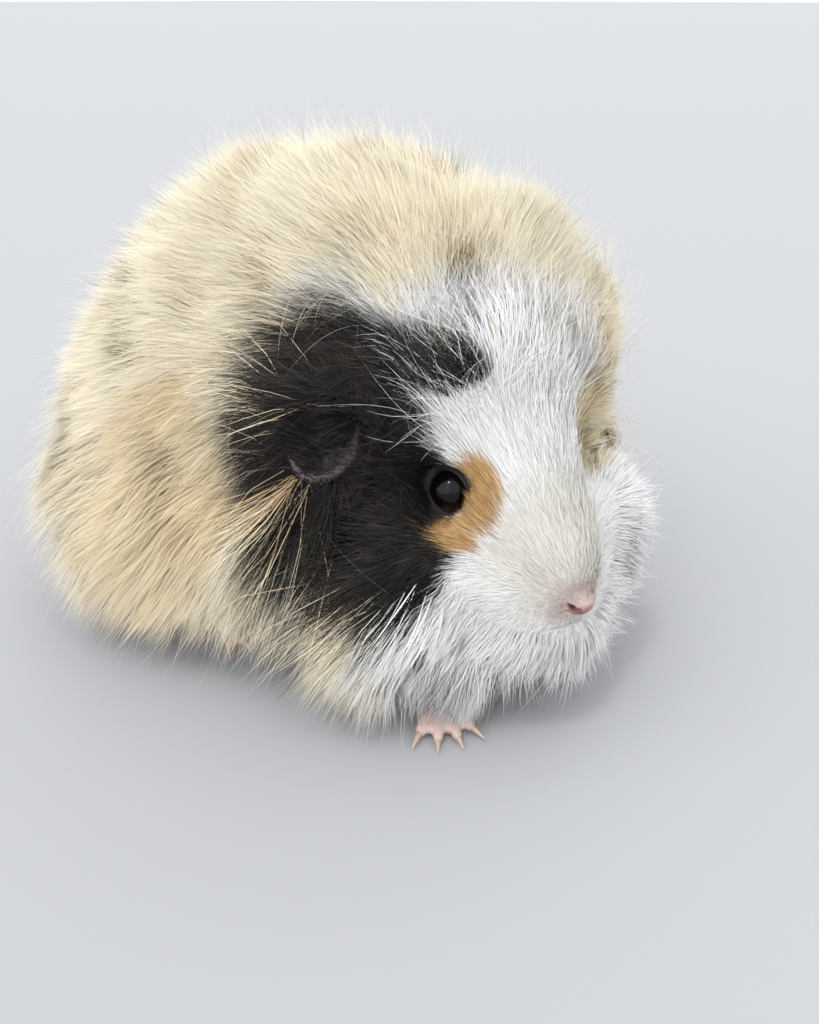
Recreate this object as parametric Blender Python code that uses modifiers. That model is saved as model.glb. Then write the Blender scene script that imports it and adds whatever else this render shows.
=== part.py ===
"""A long-coated young guinea pig, crouched with its head low and turned a little to its right.

Metres, +X to the animal's front, +Y to its left, +Z up, floor at z = 0. The solids reach out to the
tips of the coat. The whole coat is modelled as two joined forms, a coarse one for the body and a fine
one for the head, and is then parted with thin cuts into head, neck, trunk, rump, legs and so on.
"""
import math

import bmesh
import bpy
from mathutils import Euler, Matrix, Vector

MM = 0.001
GAP = 0.3 * MM

# Driving dimensions, in metres. The head frame has its origin midway between the eyes.
HEAD_AT = Vector((0.064, -0.012, 0.059))
HEAD_YAW = math.radians(-20.0)
HEAD_DIP = math.radians(12.0)
EYE_RADIUS = 0.0048
EYE_SPREAD = 0.0150
EYE_FORWARD = 0.0010
NOSE_REACH = 0.0335
NOSE_DROP = 0.0135
BODY_VOXEL = 0.0050
HEAD_VOXEL = 0.0026
BODY_FACES_KEPT = 0.16
HEAD_FACES_KEPT = 0.095
SOLE_LEVEL = 0.0
SKIRT_CLEARANCE = 0.0035
CLAW_LENGTH = 0.0042
CLAW_RADIUS = 0.0009
EAR_AT = Vector((-0.0185, 0.0365, 0.0070))
EAR_SEMI = Vector((0.0082, 0.0014, 0.0104))
EAR_FACING = Vector((0.66, 0.70, 0.22)).normalized()
EAR_RISE = Vector((0.12, -0.40, 0.91)).normalized()
EAR_DISH_DEPTH = 0.0058
# Feet: name, centre of the palm on the floor, heading in degrees, toe count, length of the sole.
FEET = (
    ("forefoot_right", (0.0607, -0.0313), -42.0, 4, 0.011),
    ("forefoot_left", (0.0600, 0.0200), 4.0, 4, 0.011),
    ("hindfoot_right", (-0.0060, -0.0400), -16.0, 3, 0.024),
    ("hindfoot_left", (-0.0160, 0.0340), 14.0, 3, 0.024),
)
TOE_SPREAD = math.radians(22.0)

HEAD_TURN = Euler((0.0, HEAD_DIP, HEAD_YAW), "XYZ").to_matrix()


def head_point(x, y, z):
    """A point of the head frame in world coordinates."""
    return HEAD_AT + HEAD_TURN @ Vector((x, y, z))


# Coat forms of the body: name, centre, semi-axes, yaw in degrees.
BODY_FORMS = (
    ("barrel", (0.000, 0.000, 0.067), (0.066, 0.058, 0.060), 4.0),
    ("rump_ball", (-0.032, -0.006, 0.052), (0.048, 0.056, 0.050), 8.0),
    ("rump_fringe", (-0.046, -0.004, 0.020), (0.037, 0.046, 0.038), 8.0),
    ("withers", (0.026, 0.008, 0.072), (0.050, 0.056, 0.051), 0.0),
    ("haunch_right", (-0.018, -0.035, 0.019), (0.053, 0.039, 0.038), 12.0),
    ("haunch_left", (-0.032, 0.022, 0.019), (0.046, 0.039, 0.038), 0.0),
    ("elbow_right", (0.034, -0.032, 0.020), (0.036, 0.033, 0.036), 8.0),
    ("elbow_left", (0.036, 0.028, 0.020), (0.036, 0.033, 0.036), -12.0),
    ("bib", (0.062, -0.008, 0.024), (0.032, 0.035, 0.030), -16.0),
    ("belly", (-0.004, -0.002, 0.034), (0.060, 0.046, 0.031), 4.0),
)
# Coat forms of the head, in the head frame: name, centre, semi-axes.
HEAD_FORMS = (
    ("crown", (-0.020, 0.000, -0.001), (0.035, 0.026, 0.027)),
    ("forehead", (-0.004, 0.000, 0.003), (0.024, 0.0185, 0.0165)),
    ("brow", (0.004, 0.000, -0.001), (0.020, 0.0170, 0.0140)),
    ("bridge", (0.0130, 0.000, -0.0050), (0.0205, 0.0130, 0.0125)),
    ("muzzle_tip", (0.0220, 0.000, -0.0115), (0.0115, 0.0108, 0.0105)),
    ("jowl_right", (0.0090, -0.0105, -0.0165), (0.0175, 0.0125, 0.0115)),
    ("jowl_left", (0.0090, 0.0105, -0.0165), (0.0175, 0.0125, 0.0115)),
    ("lip_right", (0.0225, -0.0045, -0.0165), (0.0090, 0.0072, 0.0062)),
    ("lip_left", (0.0225, 0.0045, -0.0165), (0.0090, 0.0072, 0.0062)),
    ("chin", (0.0140, 0.000, -0.0235), (0.0130, 0.0100, 0.0075)),
    ("cheek_right", (0.0000, -0.0190, -0.0180), (0.0220, 0.0220, 0.0165)),
    ("cheek_left", (0.0000, 0.0230, -0.0170), (0.0220, 0.0250, 0.0170)),
    ("ruff_right", (-0.0220, -0.0190, -0.0110), (0.0220, 0.0220, 0.0250)),
    ("ruff_left", (-0.0220, 0.0190, -0.0110), (0.0220, 0.0230, 0.0250)),
    ("throat", (-0.0040, 0.000, -0.0300), (0.0250, 0.0280, 0.0180)),
)
# Coat colours and roughness by part.
CREAM = (0.74, 0.55, 0.31, 1.0)
WHITE = (0.83, 0.82, 0.79, 1.0)
BLACK = (0.020, 0.017, 0.016, 1.0)
SKIN_PINK = (0.62, 0.38, 0.33, 1.0)
SKIN_DARK = (0.12, 0.085, 0.08, 1.0)
EYE_BLACK = (0.008, 0.006, 0.006, 1.0)
CLAW_HORN = (0.46, 0.31, 0.25, 1.0)


def clear_scene():
    for old in list(bpy.data.objects):
        bpy.data.objects.remove(old, do_unlink=True)


def new_collection(name):
    collection = bpy.data.collections.new(name)
    bpy.context.scene.collection.children.link(collection)
    return collection


def make_material(name, color, roughness):
    material = bpy.data.materials.new(name)
    material.use_nodes = True
    shader = material.node_tree.nodes["Principled BSDF"]
    shader.inputs["Base Color"].default_value = color
    shader.inputs["Roughness"].default_value = roughness
    shader.inputs["Metallic"].default_value = 0.0
    material.diffuse_color = color
    return material


def mesh_object(name, mesh, collection):
    obj = bpy.data.objects.new(name, mesh)
    collection.objects.link(obj)
    return obj


def ellipsoid(bm, center, semi_axes, turn=None, segments=24, rings=16):
    """Adds an ellipsoid to a bmesh."""
    turn = turn or Matrix.Identity(3)
    place = Matrix.Translation(center) @ turn.to_4x4() @ Matrix.Diagonal((*semi_axes, 1.0))
    bmesh.ops.create_uvsphere(bm, u_segments=segments, v_segments=rings, radius=1.0, matrix=place)


def box(bm, center, size, turn=None):
    """Adds a box to a bmesh."""
    turn = turn or Matrix.Identity(3)
    place = Matrix.Translation(center) @ turn.to_4x4() @ Matrix.Diagonal((*size, 1.0))
    bmesh.ops.create_cube(bm, size=1.0, matrix=place)


def helper(name, fill):
    """A hidden cutter or guide whose mesh is filled in by the function given."""
    bm = bmesh.new()
    fill(bm)
    mesh = bpy.data.meshes.new(name)
    bm.to_mesh(mesh)
    bm.free()
    obj = mesh_object(name, mesh, CUTTERS)
    obj.hide_render = True
    obj.display_type = "WIRE"
    return obj


def add_remesh(obj, voxel, smooth_steps, faces_kept=1.0):
    """Joins overlapping lumps into one soft skin, with fewer faces where a part of them is enough."""
    remesh = obj.modifiers.new("Join", "REMESH")
    remesh.mode = "VOXEL"
    remesh.voxel_size = voxel
    remesh.use_smooth_shade = True
    smooth = obj.modifiers.new("Soften", "SMOOTH")
    smooth.factor = 0.5
    smooth.iterations = smooth_steps
    if faces_kept < 1.0:
        thin = obj.modifiers.new("Fewer faces", "DECIMATE")
        thin.ratio = faces_kept


def baked(obj, name, collection):
    """A new plain object with the evaluated mesh of another."""
    bpy.context.view_layer.update()
    graph = bpy.context.evaluated_depsgraph_get()
    mesh = bpy.data.meshes.new_from_object(obj.evaluated_get(graph))
    mesh.transform(obj.matrix_world)
    mesh.name = name
    return mesh_object(name, mesh, collection)


def add_cut(obj, cutter, operation):
    cut = obj.modifiers.new(operation.title(), "BOOLEAN")
    cut.operation = operation
    cut.solver = "EXACT"
    cut.object = cutter


def whole_body():
    """The coat of the whole animal as one coarse closed form."""

    def fill(bm):
        for _, center, axes, yaw in BODY_FORMS:
            turn = Euler((0.0, 0.0, math.radians(yaw))).to_matrix()
            ellipsoid(bm, Vector(center), axes, turn)
        for _, center, axes in HEAD_FORMS:
            ellipsoid(bm, head_point(*center), axes, HEAD_TURN)

    raw = helper("body_forms", fill)
    add_remesh(raw, BODY_VOXEL, 4, BODY_FACES_KEPT)
    return raw


def whole_head():
    """The coat of the head as one finer closed form, carried back into the neck."""

    def fill(bm):
        for _, center, axes in HEAD_FORMS:
            ellipsoid(bm, head_point(*center), axes, HEAD_TURN, 32, 20)
        for name, center, axes, yaw in BODY_FORMS:
            if name in ("withers", "bib", "barrel", "elbow_right", "elbow_left"):
                turn = Euler((0.0, 0.0, math.radians(yaw))).to_matrix()
                ellipsoid(bm, Vector(center), axes, turn)

    raw = helper("head_forms", fill)
    add_remesh(raw, HEAD_VOXEL, 7, HEAD_FACES_KEPT)
    return raw


def region(name, shape, center, size, turn=None, grow=0.0, detail=(14, 9)):
    """A hidden parting volume; grow widens it all round, which leaves the gap between two nodes."""

    def fill(bm):
        if shape == "ball":
            axes = [half + grow for half in size]
            ellipsoid(bm, Vector(center), axes, turn, *detail)
        else:
            sides = [side + 2.0 * grow for side in size]
            box(bm, Vector(center), sides, turn)

    return helper(name, fill)


def part_off(body, name, shape, center, size, turn=None):
    """Parts a node from the body with a thin cut: returns the node and what is left."""
    inner = region(name + "_region", shape, center, size, turn)
    outer = region(name + "_parting", shape, center, size, turn, GAP)
    node = baked(body, name, PARTS)
    add_cut(node, inner, "INTERSECT")
    node_mesh = baked(node, name + "_cut", PARTS)
    bpy.data.objects.remove(node)
    rest = baked(body, "rest", CUTTERS)
    add_cut(rest, outer, "DIFFERENCE")
    rest_mesh = baked(rest, "rest_cut", CUTTERS)
    bpy.data.objects.remove(rest)
    bpy.data.objects.remove(body)
    node_mesh.name = name
    return node_mesh, rest_mesh


def carve(obj, cutters):
    """Cuts hidden volumes out of an object and bakes the result under the same name."""
    name = obj.name
    for cutter in cutters:
        add_cut(obj, cutter, "DIFFERENCE")
    carved = baked(obj, name + "_carved", PARTS)
    bpy.data.objects.remove(obj)
    carved.name = name
    return carved


def keep_main_piece(obj):
    """Drops the crumbs that parting leaves beside the largest closed piece of an object."""
    bm = bmesh.new()
    bm.from_mesh(obj.data)
    left = set(bm.verts)
    pieces = []
    while left:
        piece = {left.pop()}
        edge_of_piece = set(piece)
        while edge_of_piece:
            reached = set()
            for vert in edge_of_piece:
                for edge in vert.link_edges:
                    reached.add(edge.other_vert(vert))
            edge_of_piece = reached - piece
            piece |= reached
        left -= piece
        pieces.append(piece)
    pieces.sort(key=len)
    crumbs = [vert for piece in pieces[:-1] for vert in piece]
    bmesh.ops.delete(bm, geom=crumbs, context="VERTS")
    bm.to_mesh(obj.data)
    bm.free()


def toe_angles(count):
    return [(index - 0.5 * (count - 1)) * TOE_SPREAD for index in range(count)]


def foot_forms(bm, at, heading, count, sole, grow):
    """Adds the palm, the toes and the wrist of one foot to a bmesh."""
    turn = Euler((0.0, 0.0, math.radians(heading))).to_matrix()
    origin = Vector((at[0], at[1], SOLE_LEVEL))
    grown = Vector((grow, grow, grow))

    def lump(center, axes, yaw=0.0):
        spin = turn @ Euler((0.0, 0.0, yaw)).to_matrix()
        ellipsoid(bm, origin + turn @ Vector(center), Vector(axes) + grown, spin, 16, 12)

    half = 0.5 * sole
    lump((-half + 0.0055, 0.0, 0.0026), (half + 0.0010, 0.0042, 0.0034))
    lump((-half - 0.0015, 0.0, 0.0075), (0.0048, 0.0044, 0.0070))
    for yaw in toe_angles(count):
        reach = 0.0072
        center = (reach * math.cos(yaw), reach * math.sin(yaw), 0.0012)
        lump(center, (0.0044, 0.0015, 0.0016), yaw)


def make_foot(name, at, heading, count, sole):
    """One foot with flat soles on the floor, and the wider hidden volume that clears its neighbours."""
    solid = helper(name + "_forms", lambda bm: foot_forms(bm, at, heading, count, sole, 0.0))
    add_remesh(solid, 0.0013, 2, 0.15 if sole < 0.02 else 0.12)
    add_cut(solid, FLOOR, "DIFFERENCE")
    foot = baked(solid, name, PARTS)
    clear = helper(name + "_clearance", lambda bm: foot_forms(bm, at, heading, count, sole, 0.0009))
    add_remesh(clear, 0.0022, 1, 0.2)
    return foot, baked(clear, name + "_pocket", CUTTERS)


def make_claws(name, at, heading, count):
    """Short horn cones at the toe tips, just clear of the floor."""
    origin = Vector((at[0], at[1], SOLE_LEVEL))
    turn = Euler((0.0, 0.0, math.radians(heading))).to_matrix()
    tilt = math.radians(14.0)
    claws = []
    for index, yaw in enumerate(toe_angles(count)):
        along = turn @ Vector((math.cos(yaw), math.sin(yaw), 0.0))
        direction = (along * math.cos(tilt) - Vector((0.0, 0.0, math.sin(tilt)))).normalized()
        middle = origin + along * (0.0119 + 0.5 * CLAW_LENGTH) + Vector((0.0, 0.0, 0.0014))
        spin = direction.to_track_quat("Z", "Y").to_matrix().to_4x4()
        bm = bmesh.new()
        bmesh.ops.create_cone(
            bm,
            cap_ends=True,
            segments=6,
            radius1=CLAW_RADIUS,
            radius2=0.25 * CLAW_RADIUS,
            depth=CLAW_LENGTH,
            matrix=Matrix.Translation(middle) @ spin,
        )
        mesh = bpy.data.meshes.new("claw")
        bm.to_mesh(mesh)
        bm.free()
        claws.append(mesh_object(f"claw_{name}_{index + 1}", mesh, PARTS))
    return claws


def ear_turn():
    """Axes of the left ear in the head frame: across its width, out of its face, and up to its root."""
    return Matrix((EAR_FACING.cross(EAR_RISE), EAR_FACING, EAR_RISE)).transposed()


def place_on_head(bm, side):
    """Moves a left-hand mesh from the head frame to the world, mirrored for the right side."""
    if side < 0:
        bm.transform(Matrix.Diagonal((1.0, -1.0, 1.0, 1.0)))
        bmesh.ops.reverse_faces(bm, faces=bm.faces)
    bm.transform(Matrix.Translation(HEAD_AT) @ HEAD_TURN.to_4x4())


def fill_ear(bm, side, grow):
    """A drooping petal: a thin ellipsoid, cupped, with its free lower edge curled outwards."""
    axes = EAR_SEMI + Vector((grow, grow, grow))
    ellipsoid(bm, Vector((0.0, 0.0, 0.0)), axes, None, 14, 8)
    for vert in bm.verts:
        across = vert.co.x / EAR_SEMI.x
        up = vert.co.z / EAR_SEMI.z
        vert.co.y += 0.0020 * across * across + 0.0014 * up * up - 0.0010 * up
    bm.transform(Matrix.Translation(EAR_AT) @ ear_turn().to_4x4())
    place_on_head(bm, side)


def fill_ear_dish(bm, side):
    """The hollow in the coat that opens on the ear."""
    center = EAR_AT + EAR_FACING * EAR_DISH_DEPTH
    axes = Vector((EAR_SEMI.x + 0.0002, EAR_DISH_DEPTH, EAR_SEMI.z + 0.0002))
    ellipsoid(bm, center, axes, ear_turn(), 14, 8)
    place_on_head(bm, side)


def make_ear(name, side):
    """One ear, and the hidden volumes that clear the coat from it and open the coat over it."""
    bm = bmesh.new()
    fill_ear(bm, side, 0.0)
    mesh = bpy.data.meshes.new(name)
    bm.to_mesh(mesh)
    bm.free()
    ear = mesh_object(name, mesh, PARTS)
    pocket = helper(name + "_pocket", lambda bm: fill_ear(bm, side, 1.5 * GAP))
    dish = helper(name + "_dish", lambda bm: fill_ear_dish(bm, side))
    return ear, [pocket, dish]


def make_eye(name, side):
    """One eyeball, its close socket, and the shallow dish that opens the coat round it."""
    center = head_point(EYE_FORWARD, side * EYE_SPREAD, 0.0)
    bm = bmesh.new()
    ellipsoid(bm, center, (EYE_RADIUS, EYE_RADIUS, EYE_RADIUS), HEAD_TURN, 12, 8)
    mesh = bpy.data.meshes.new(name)
    bm.to_mesh(mesh)
    bm.free()
    eye = mesh_object(name, mesh, PARTS)
    socket_radius = EYE_RADIUS + 1.6 * GAP
    socket = region(name + "_socket", "ball", center, (socket_radius,) * 3, HEAD_TURN, 0.0, (14, 9))
    outward = head_point(EYE_FORWARD + 0.0032, side * (EYE_SPREAD + 0.0068), 0.0022)
    dish = region(name + "_dish", "ball", outward, (0.0088, 0.0066, 0.0078), HEAD_TURN, 0.0, (12, 8))
    return eye, [socket, dish]


def make_nose():
    """The bare nose leather with two nostrils, and its pocket."""
    center = head_point(NOSE_REACH - 0.0010, 0.0, -NOSE_DROP + 0.0008)
    bm = bmesh.new()
    ellipsoid(bm, center, (0.0026, 0.0040, 0.0028), HEAD_TURN, 10, 6)
    mesh = bpy.data.meshes.new("nose")
    bm.to_mesh(mesh)
    bm.free()
    nose = mesh_object("nose", mesh, PARTS)
    nostrils = []
    for side in (-1, 1):
        hole = head_point(NOSE_REACH + 0.0010, side * 0.0022, -NOSE_DROP + 0.0004)
        size = (0.0012, 0.0010, 0.0008)
        nostrils.append(region(f"nostril_{side}", "ball", hole, size, HEAD_TURN, 0.0, (8, 5)))
    axes = (0.0026 + 1.5 * GAP, 0.0040 + 1.5 * GAP, 0.0028 + 1.5 * GAP)
    pocket = region("nose_pocket", "ball", center, axes, HEAD_TURN, 0.0, (12, 7))
    return carve(nose, nostrils), pocket


def finish_object(obj, material):
    obj.data.materials.clear()
    obj.data.materials.append(material)
    obj.data.shade_smooth()
    obj.data.set_sharp_from_angle(angle=math.radians(48.0))


def centre_on_floor(objects):
    """Moves every mesh so that the origin is the middle of the footprint of the whole box."""
    corners = [vert.co for obj in objects for vert in obj.data.vertices]
    middle_x = 0.5 * (min(co.x for co in corners) + max(co.x for co in corners))
    middle_y = 0.5 * (min(co.y for co in corners) + max(co.y for co in corners))
    for mesh in {obj.data for obj in objects}:
        mesh.transform(Matrix.Translation((-middle_x, -middle_y, 0.0)))


clear_scene()
PARTS = new_collection("guinea_pig")
CUTTERS = new_collection("cutters")
FLOOR = region("floor_block", "box", (0.0, 0.0, SOLE_LEVEL - 0.05), (0.4, 0.4, 0.1))
AIR = region("air_under_coat", "box", (0.0, 0.0, SKIRT_CLEARANCE - 0.05), (0.4, 0.4, 0.1))


def build():
    feet = [make_foot(*foot) for foot in FEET]
    pockets = [pocket for _, pocket in feet]
    claws = []
    for name, at, heading, count, _ in FEET:
        claws += make_claws(name, at, heading, count)

    body = whole_body()
    for cutter in [AIR] + pockets:
        add_cut(body, cutter, "DIFFERENCE")
    rest = baked(body, "coat", CUTTERS)

    # Legs: rounded blocks of coat round each limb.
    legs = (
        ("foreleg_right", (0.038, -0.052, 0.014), (0.021, 0.026, 0.027)),
        ("foreleg_left", (0.038, 0.050, 0.014), (0.021, 0.026, 0.027)),
        ("hind_leg_right", (-0.022, -0.056, 0.024), (0.034, 0.026, 0.033)),
        ("hind_leg_left", (-0.030, 0.052, 0.024), (0.034, 0.026, 0.033)),
    )
    nodes = {}
    for name, center, axes in legs:
        nodes[name], rest = part_off(rest, name, "ball", center, axes)

    # The chest hangs under the chin, in front of the forelegs.
    nodes["chest"], rest = part_off(rest, "chest", "box", (0.080, 0.0, 0.008), (0.100, 0.2, 0.036))

    # The neck is the collar of coat round the head; the head itself is taken from the fine form.
    neck_at = head_point(-0.0210, 0.0, 0.0000)
    neck, rest = part_off(rest, "neck", "ball", neck_at, (0.0520, 0.0600, 0.0560), HEAD_TURN)
    head_at = head_point(-0.0060, 0.0, -0.0070)
    head_size = (0.0450, 0.0540, 0.0430)
    clear_head = region("head_clear", "ball", head_at, head_size, HEAD_TURN, GAP, (18, 11))
    keep_head = region("head_keep", "ball", head_at, head_size, HEAD_TURN, 0.0, (18, 11))
    under_head = region("under_head", "box", (0.080, 0.0, 0.008), (0.110, 0.22, 0.036), None, GAP)
    fine = whole_head()
    add_cut(fine, keep_head, "INTERSECT")
    add_cut(fine, under_head, "DIFFERENCE")
    for name, center, axes in legs[:2]:
        add_cut(fine, region(name + "_clear", "ball", center, axes, None, GAP), "DIFFERENCE")
    head = baked(fine, "head", PARTS)

    eyes = [make_eye("eye_right", -1), make_eye("eye_left", 1)]
    ears = [make_ear("ear_right", -1), make_ear("ear_left", 1)]
    nose, nose_pocket = make_nose()
    ear_pockets = [cut for _, cuts in ears for cut in cuts]
    head = carve(head, [cut for _, cuts in eyes for cut in cuts] + ear_pockets + [nose_pocket])
    jaw_at = head_point(0.0170, 0.0, -0.0290)
    jaw_size = (0.0150, 0.0110, 0.0085)
    nodes["lower_jaw"], nodes["head"] = part_off(head, "lower_jaw", "ball", jaw_at, jaw_size, HEAD_TURN)
    nodes["neck"] = carve(neck, [clear_head] + ear_pockets)

    # What is left splits into trunk and rump.
    rest = carve(rest, [clear_head])
    nodes["rump"], rest = part_off(rest, "rump", "box", (-0.094, 0.0, 0.06), (0.116, 0.3, 0.3))
    nodes["trunk"] = rest

    cream = make_material("cream_coat", CREAM, 0.85)
    white = make_material("white_coat", WHITE, 0.85)
    black = make_material("black_coat", BLACK, 0.75)
    pink = make_material("pink_skin", SKIN_PINK, 0.55)
    dark = make_material("dark_ear_skin", SKIN_DARK, 0.60)
    glossy = make_material("black_eye", EYE_BLACK, 0.08)
    horn = make_material("claw_horn", CLAW_HORN, 0.40)
    finishes = {"head": white, "lower_jaw": white, "chest": white, "neck": black}
    for name, node in nodes.items():
        node.name = name
        for holder in list(node.users_collection):
            holder.objects.unlink(node)
        PARTS.objects.link(node)
        keep_main_piece(node)
        finish_object(node, finishes.get(name, cream))
    for foot, _ in feet:
        finish_object(foot, pink)
    for ear, _ in ears:
        finish_object(ear, dark)
    for eye, _ in eyes:
        finish_object(eye, glossy)
    finish_object(nose, pink)
    for claw in claws:
        finish_object(claw, horn)
    centre_on_floor(PARTS.objects[:])


build()
for hidden in CUTTERS.objects:
    hidden.hide_render = True
    hidden.display_type = "WIRE"
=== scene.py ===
# %% [markdown]
# # A young long-coated guinea pig
# A fluffy animal is two things: a quiet skin that nobody sees, and a coat that everybody sees. So this
# lesson makes one soft skin, gives it eyes, lids, a nose, ears and toes, and then grows several hundred
# thousand thin tufts of real mesh out of it. The solids that come with the frame reach out to the tips of
# the coat, so they say how long each tuft may be.

# %% Load the frame
import math

import bmesh
import bpy
import numpy as np
from mathutils import Matrix, Vector
from mathutils.bvhtree import BVHTree
from mathutils.kdtree import KDTree


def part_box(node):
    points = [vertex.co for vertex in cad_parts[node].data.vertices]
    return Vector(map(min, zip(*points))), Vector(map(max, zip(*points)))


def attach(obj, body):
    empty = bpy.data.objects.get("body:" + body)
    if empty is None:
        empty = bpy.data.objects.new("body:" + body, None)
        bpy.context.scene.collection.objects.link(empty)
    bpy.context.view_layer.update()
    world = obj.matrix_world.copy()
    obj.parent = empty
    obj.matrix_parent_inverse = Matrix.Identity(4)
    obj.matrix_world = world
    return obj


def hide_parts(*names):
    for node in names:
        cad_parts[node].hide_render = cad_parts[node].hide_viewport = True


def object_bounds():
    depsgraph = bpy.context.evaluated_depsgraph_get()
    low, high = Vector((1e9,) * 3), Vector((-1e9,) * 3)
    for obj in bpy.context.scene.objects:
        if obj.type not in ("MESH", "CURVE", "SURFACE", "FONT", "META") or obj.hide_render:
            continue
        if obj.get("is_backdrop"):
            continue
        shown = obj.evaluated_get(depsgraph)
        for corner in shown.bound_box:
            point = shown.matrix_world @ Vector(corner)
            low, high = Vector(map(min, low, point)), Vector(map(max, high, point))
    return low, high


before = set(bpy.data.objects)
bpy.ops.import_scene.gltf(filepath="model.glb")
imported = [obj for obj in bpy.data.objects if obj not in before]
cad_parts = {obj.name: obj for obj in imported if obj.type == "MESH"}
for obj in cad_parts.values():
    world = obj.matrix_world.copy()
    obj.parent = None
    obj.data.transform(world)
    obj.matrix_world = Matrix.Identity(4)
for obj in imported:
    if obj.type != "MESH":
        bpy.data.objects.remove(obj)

MM = 0.001
RNG = np.random.default_rng(7)
SCENE = bpy.context.scene
cad_box = [list(corner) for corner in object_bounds()]
print("solids:", len(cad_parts), "box in mm:", [[round(v / MM) for v in corner] for corner in cad_box])

# %% [markdown]
# ## Where the head points
# Fur, markings and lids are all easiest to place in the head's own axes. Three small solids fix them: the
# two eyes give the sideways axis and the nose gives the forward one. The nose lies a little below the
# line straight ahead of the eyes, and that angle is taken off again.

# %% The head's own axes
def middle(node):
    low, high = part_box(node)
    return 0.5 * (low + high)


def unit(v):
    return v / np.maximum(np.linalg.norm(v, axis=-1, keepdims=True), 1e-12)


EYES = {"right": middle("eye_right"), "left": middle("eye_left")}
EYE_RADIUS = 0.25 * sum((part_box("eye_right")[1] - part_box("eye_right")[0])[1:])
HEAD_Y = (EYES["left"] - EYES["right"]).normalized()
NOSE_BELOW_AXIS = math.radians(22.0)
to_nose = (middle("nose") - 0.5 * (EYES["left"] + EYES["right"])).normalized()
HEAD_X = (Matrix.Rotation(-NOSE_BELOW_AXIS, 3, HEAD_Y) @ to_nose).normalized()
HEAD_Z = HEAD_X.cross(HEAD_Y).normalized()
HEAD_TURN = Matrix((HEAD_X, HEAD_Y, HEAD_Z)).transposed()
HEAD_AT = 0.5 * (EYES["left"] + EYES["right"]) - 0.001 * HEAD_X
HEAD_AXES = np.array(HEAD_TURN)


def on_head(x, y, z):
    """A place given in millimetres along the head's axes, as a point of the scene."""
    return HEAD_AT + HEAD_TURN @ (Vector((x, y, z)) * MM)


def head_mm(points):
    """Scene points as millimetres along the head's axes."""
    return (points - np.array(HEAD_AT)) @ HEAD_AXES / MM


NOSE_MM = head_mm(np.array([middle("nose")]))[0]
EYE_MM = {side: head_mm(np.array([EYES[side]]))[0] for side in EYES}
EYE_OUTWARD = {"right": unit(np.array((0.30, -0.93, 0.16))), "left": unit(np.array((0.30, 0.93, 0.16)))}
print("head at", [round(v / MM, 1) for v in HEAD_AT], "eye radius", round(EYE_RADIUS / MM, 2), "mm")

# %% [markdown]
# ## Camera, floor and light
# The animal is seen from its right front and from well above, as by someone leaning over a seat. The
# camera is placed from the right eye, because the eye is what everyone looks at. The floor is plain and
# pale. The light comes from wide soft windows all round, the widest on the side that the camera sees, with
# weaker ones overhead and behind, so that the coat shows its depth without hard shadows.

# %% Camera
CAMERA_FROM_EYE = Vector((0.1046, -0.1488, 0.0951))
CAMERA_AZIMUTH = math.radians(38.0)
CAMERA_DOWN = math.radians(29.0)
LENS_MM = 32.7

camera = bpy.data.objects.new("camera", bpy.data.cameras.new("camera"))
camera.data.lens = LENS_MM
camera.data.clip_start = 0.01
camera.location = EYES["right"] + CAMERA_FROM_EYE
camera.rotation_euler = (math.pi / 2 - CAMERA_DOWN, 0.0, CAMERA_AZIMUTH)
SCENE.collection.objects.link(camera)
SCENE.camera = camera
print("camera", [round(v / MM) for v in camera.location], "mm")

# %% Soft windows of light
def soft_light(name, toward, spread, strength, color=(1.0, 1.0, 1.0)):
    """A far light that fills a wide part of the sky round one direction, so its shadows are soft."""
    light = bpy.data.lights.new(name, "SUN")
    light.angle = math.radians(spread)
    light.energy = strength
    light.color = color
    lamp = bpy.data.objects.new(name, light)
    lamp.rotation_euler = Vector(toward).to_track_quat("Z", "Y").to_euler()
    SCENE.collection.objects.link(lamp)
    return lamp


soft_light("front_window", (0.55, -0.50, 0.80), 75.0, 0.86, (0.98, 0.99, 1.0))
soft_light("side_window", (-0.30, -0.90, 0.40), 80.0, 1.20, (1.0, 0.99, 0.98))
soft_light("back_window", (-0.50, 0.80, 0.35), 80.0, 0.54, (1.0, 1.0, 1.0))
# A small lamp high in the camera's own frame puts the spark in the eye and does little else.
spark = camera.rotation_euler.to_matrix() @ Vector((-0.22, 0.64, 0.74))
soft_light("spark", spark, 9.0, 0.60)

world = bpy.data.worlds.new("studio")
world.use_nodes = True
world.node_tree.nodes["Background"].inputs["Color"].default_value = (0.86, 0.88, 0.91, 1.0)
world.node_tree.nodes["Background"].inputs["Strength"].default_value = 1.13
SCENE.world = world
SCENE.view_settings.view_transform = "Standard"

# %% Light paths
# Light that has bounced once in the coat has given most of what it gives, and the lamps make up the rest.
paths = bpy.context.scene.cycles
paths.max_bounces, paths.diffuse_bounces, paths.glossy_bounces = 2, 1, 1
paths.transmission_bounces, paths.volume_bounces = 1, 0
# With four far lights there is nothing to gain from sorting them for every ray.
paths.use_light_tree = False
print("light bounces:", paths.max_bounces)

# %% [markdown]
# ## Shader sums that read as sums
# A material is a web of nodes. Written out one link at a time it says nothing about the surface, so one
# small class wraps a socket and turns +, -, * and a maximum into Math nodes. Every other node comes from one
# method that takes its type, its settings and its inputs.

# %% A class for shader sums
class Value:
    """A number in a shader tree that can be used in sums."""

    def __init__(self, shader, socket):
        self.shader = shader
        self.socket = socket

    def math(self, operation, other):
        return self.shader.make("ShaderNodeMath", {"operation": operation}, {0: self, 1: other})

    def __add__(self, other):
        return self.math("ADD", other)

    __radd__ = __add__

    def __sub__(self, other):
        return self.math("SUBTRACT", other)

    def __rsub__(self, other):
        return (self * -1.0).math("ADD", other)

    def __mul__(self, other):
        return self.math("MULTIPLY", other)

    __rmul__ = __mul__

    def at_least(self, other):
        return self.math("MAXIMUM", other)


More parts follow.
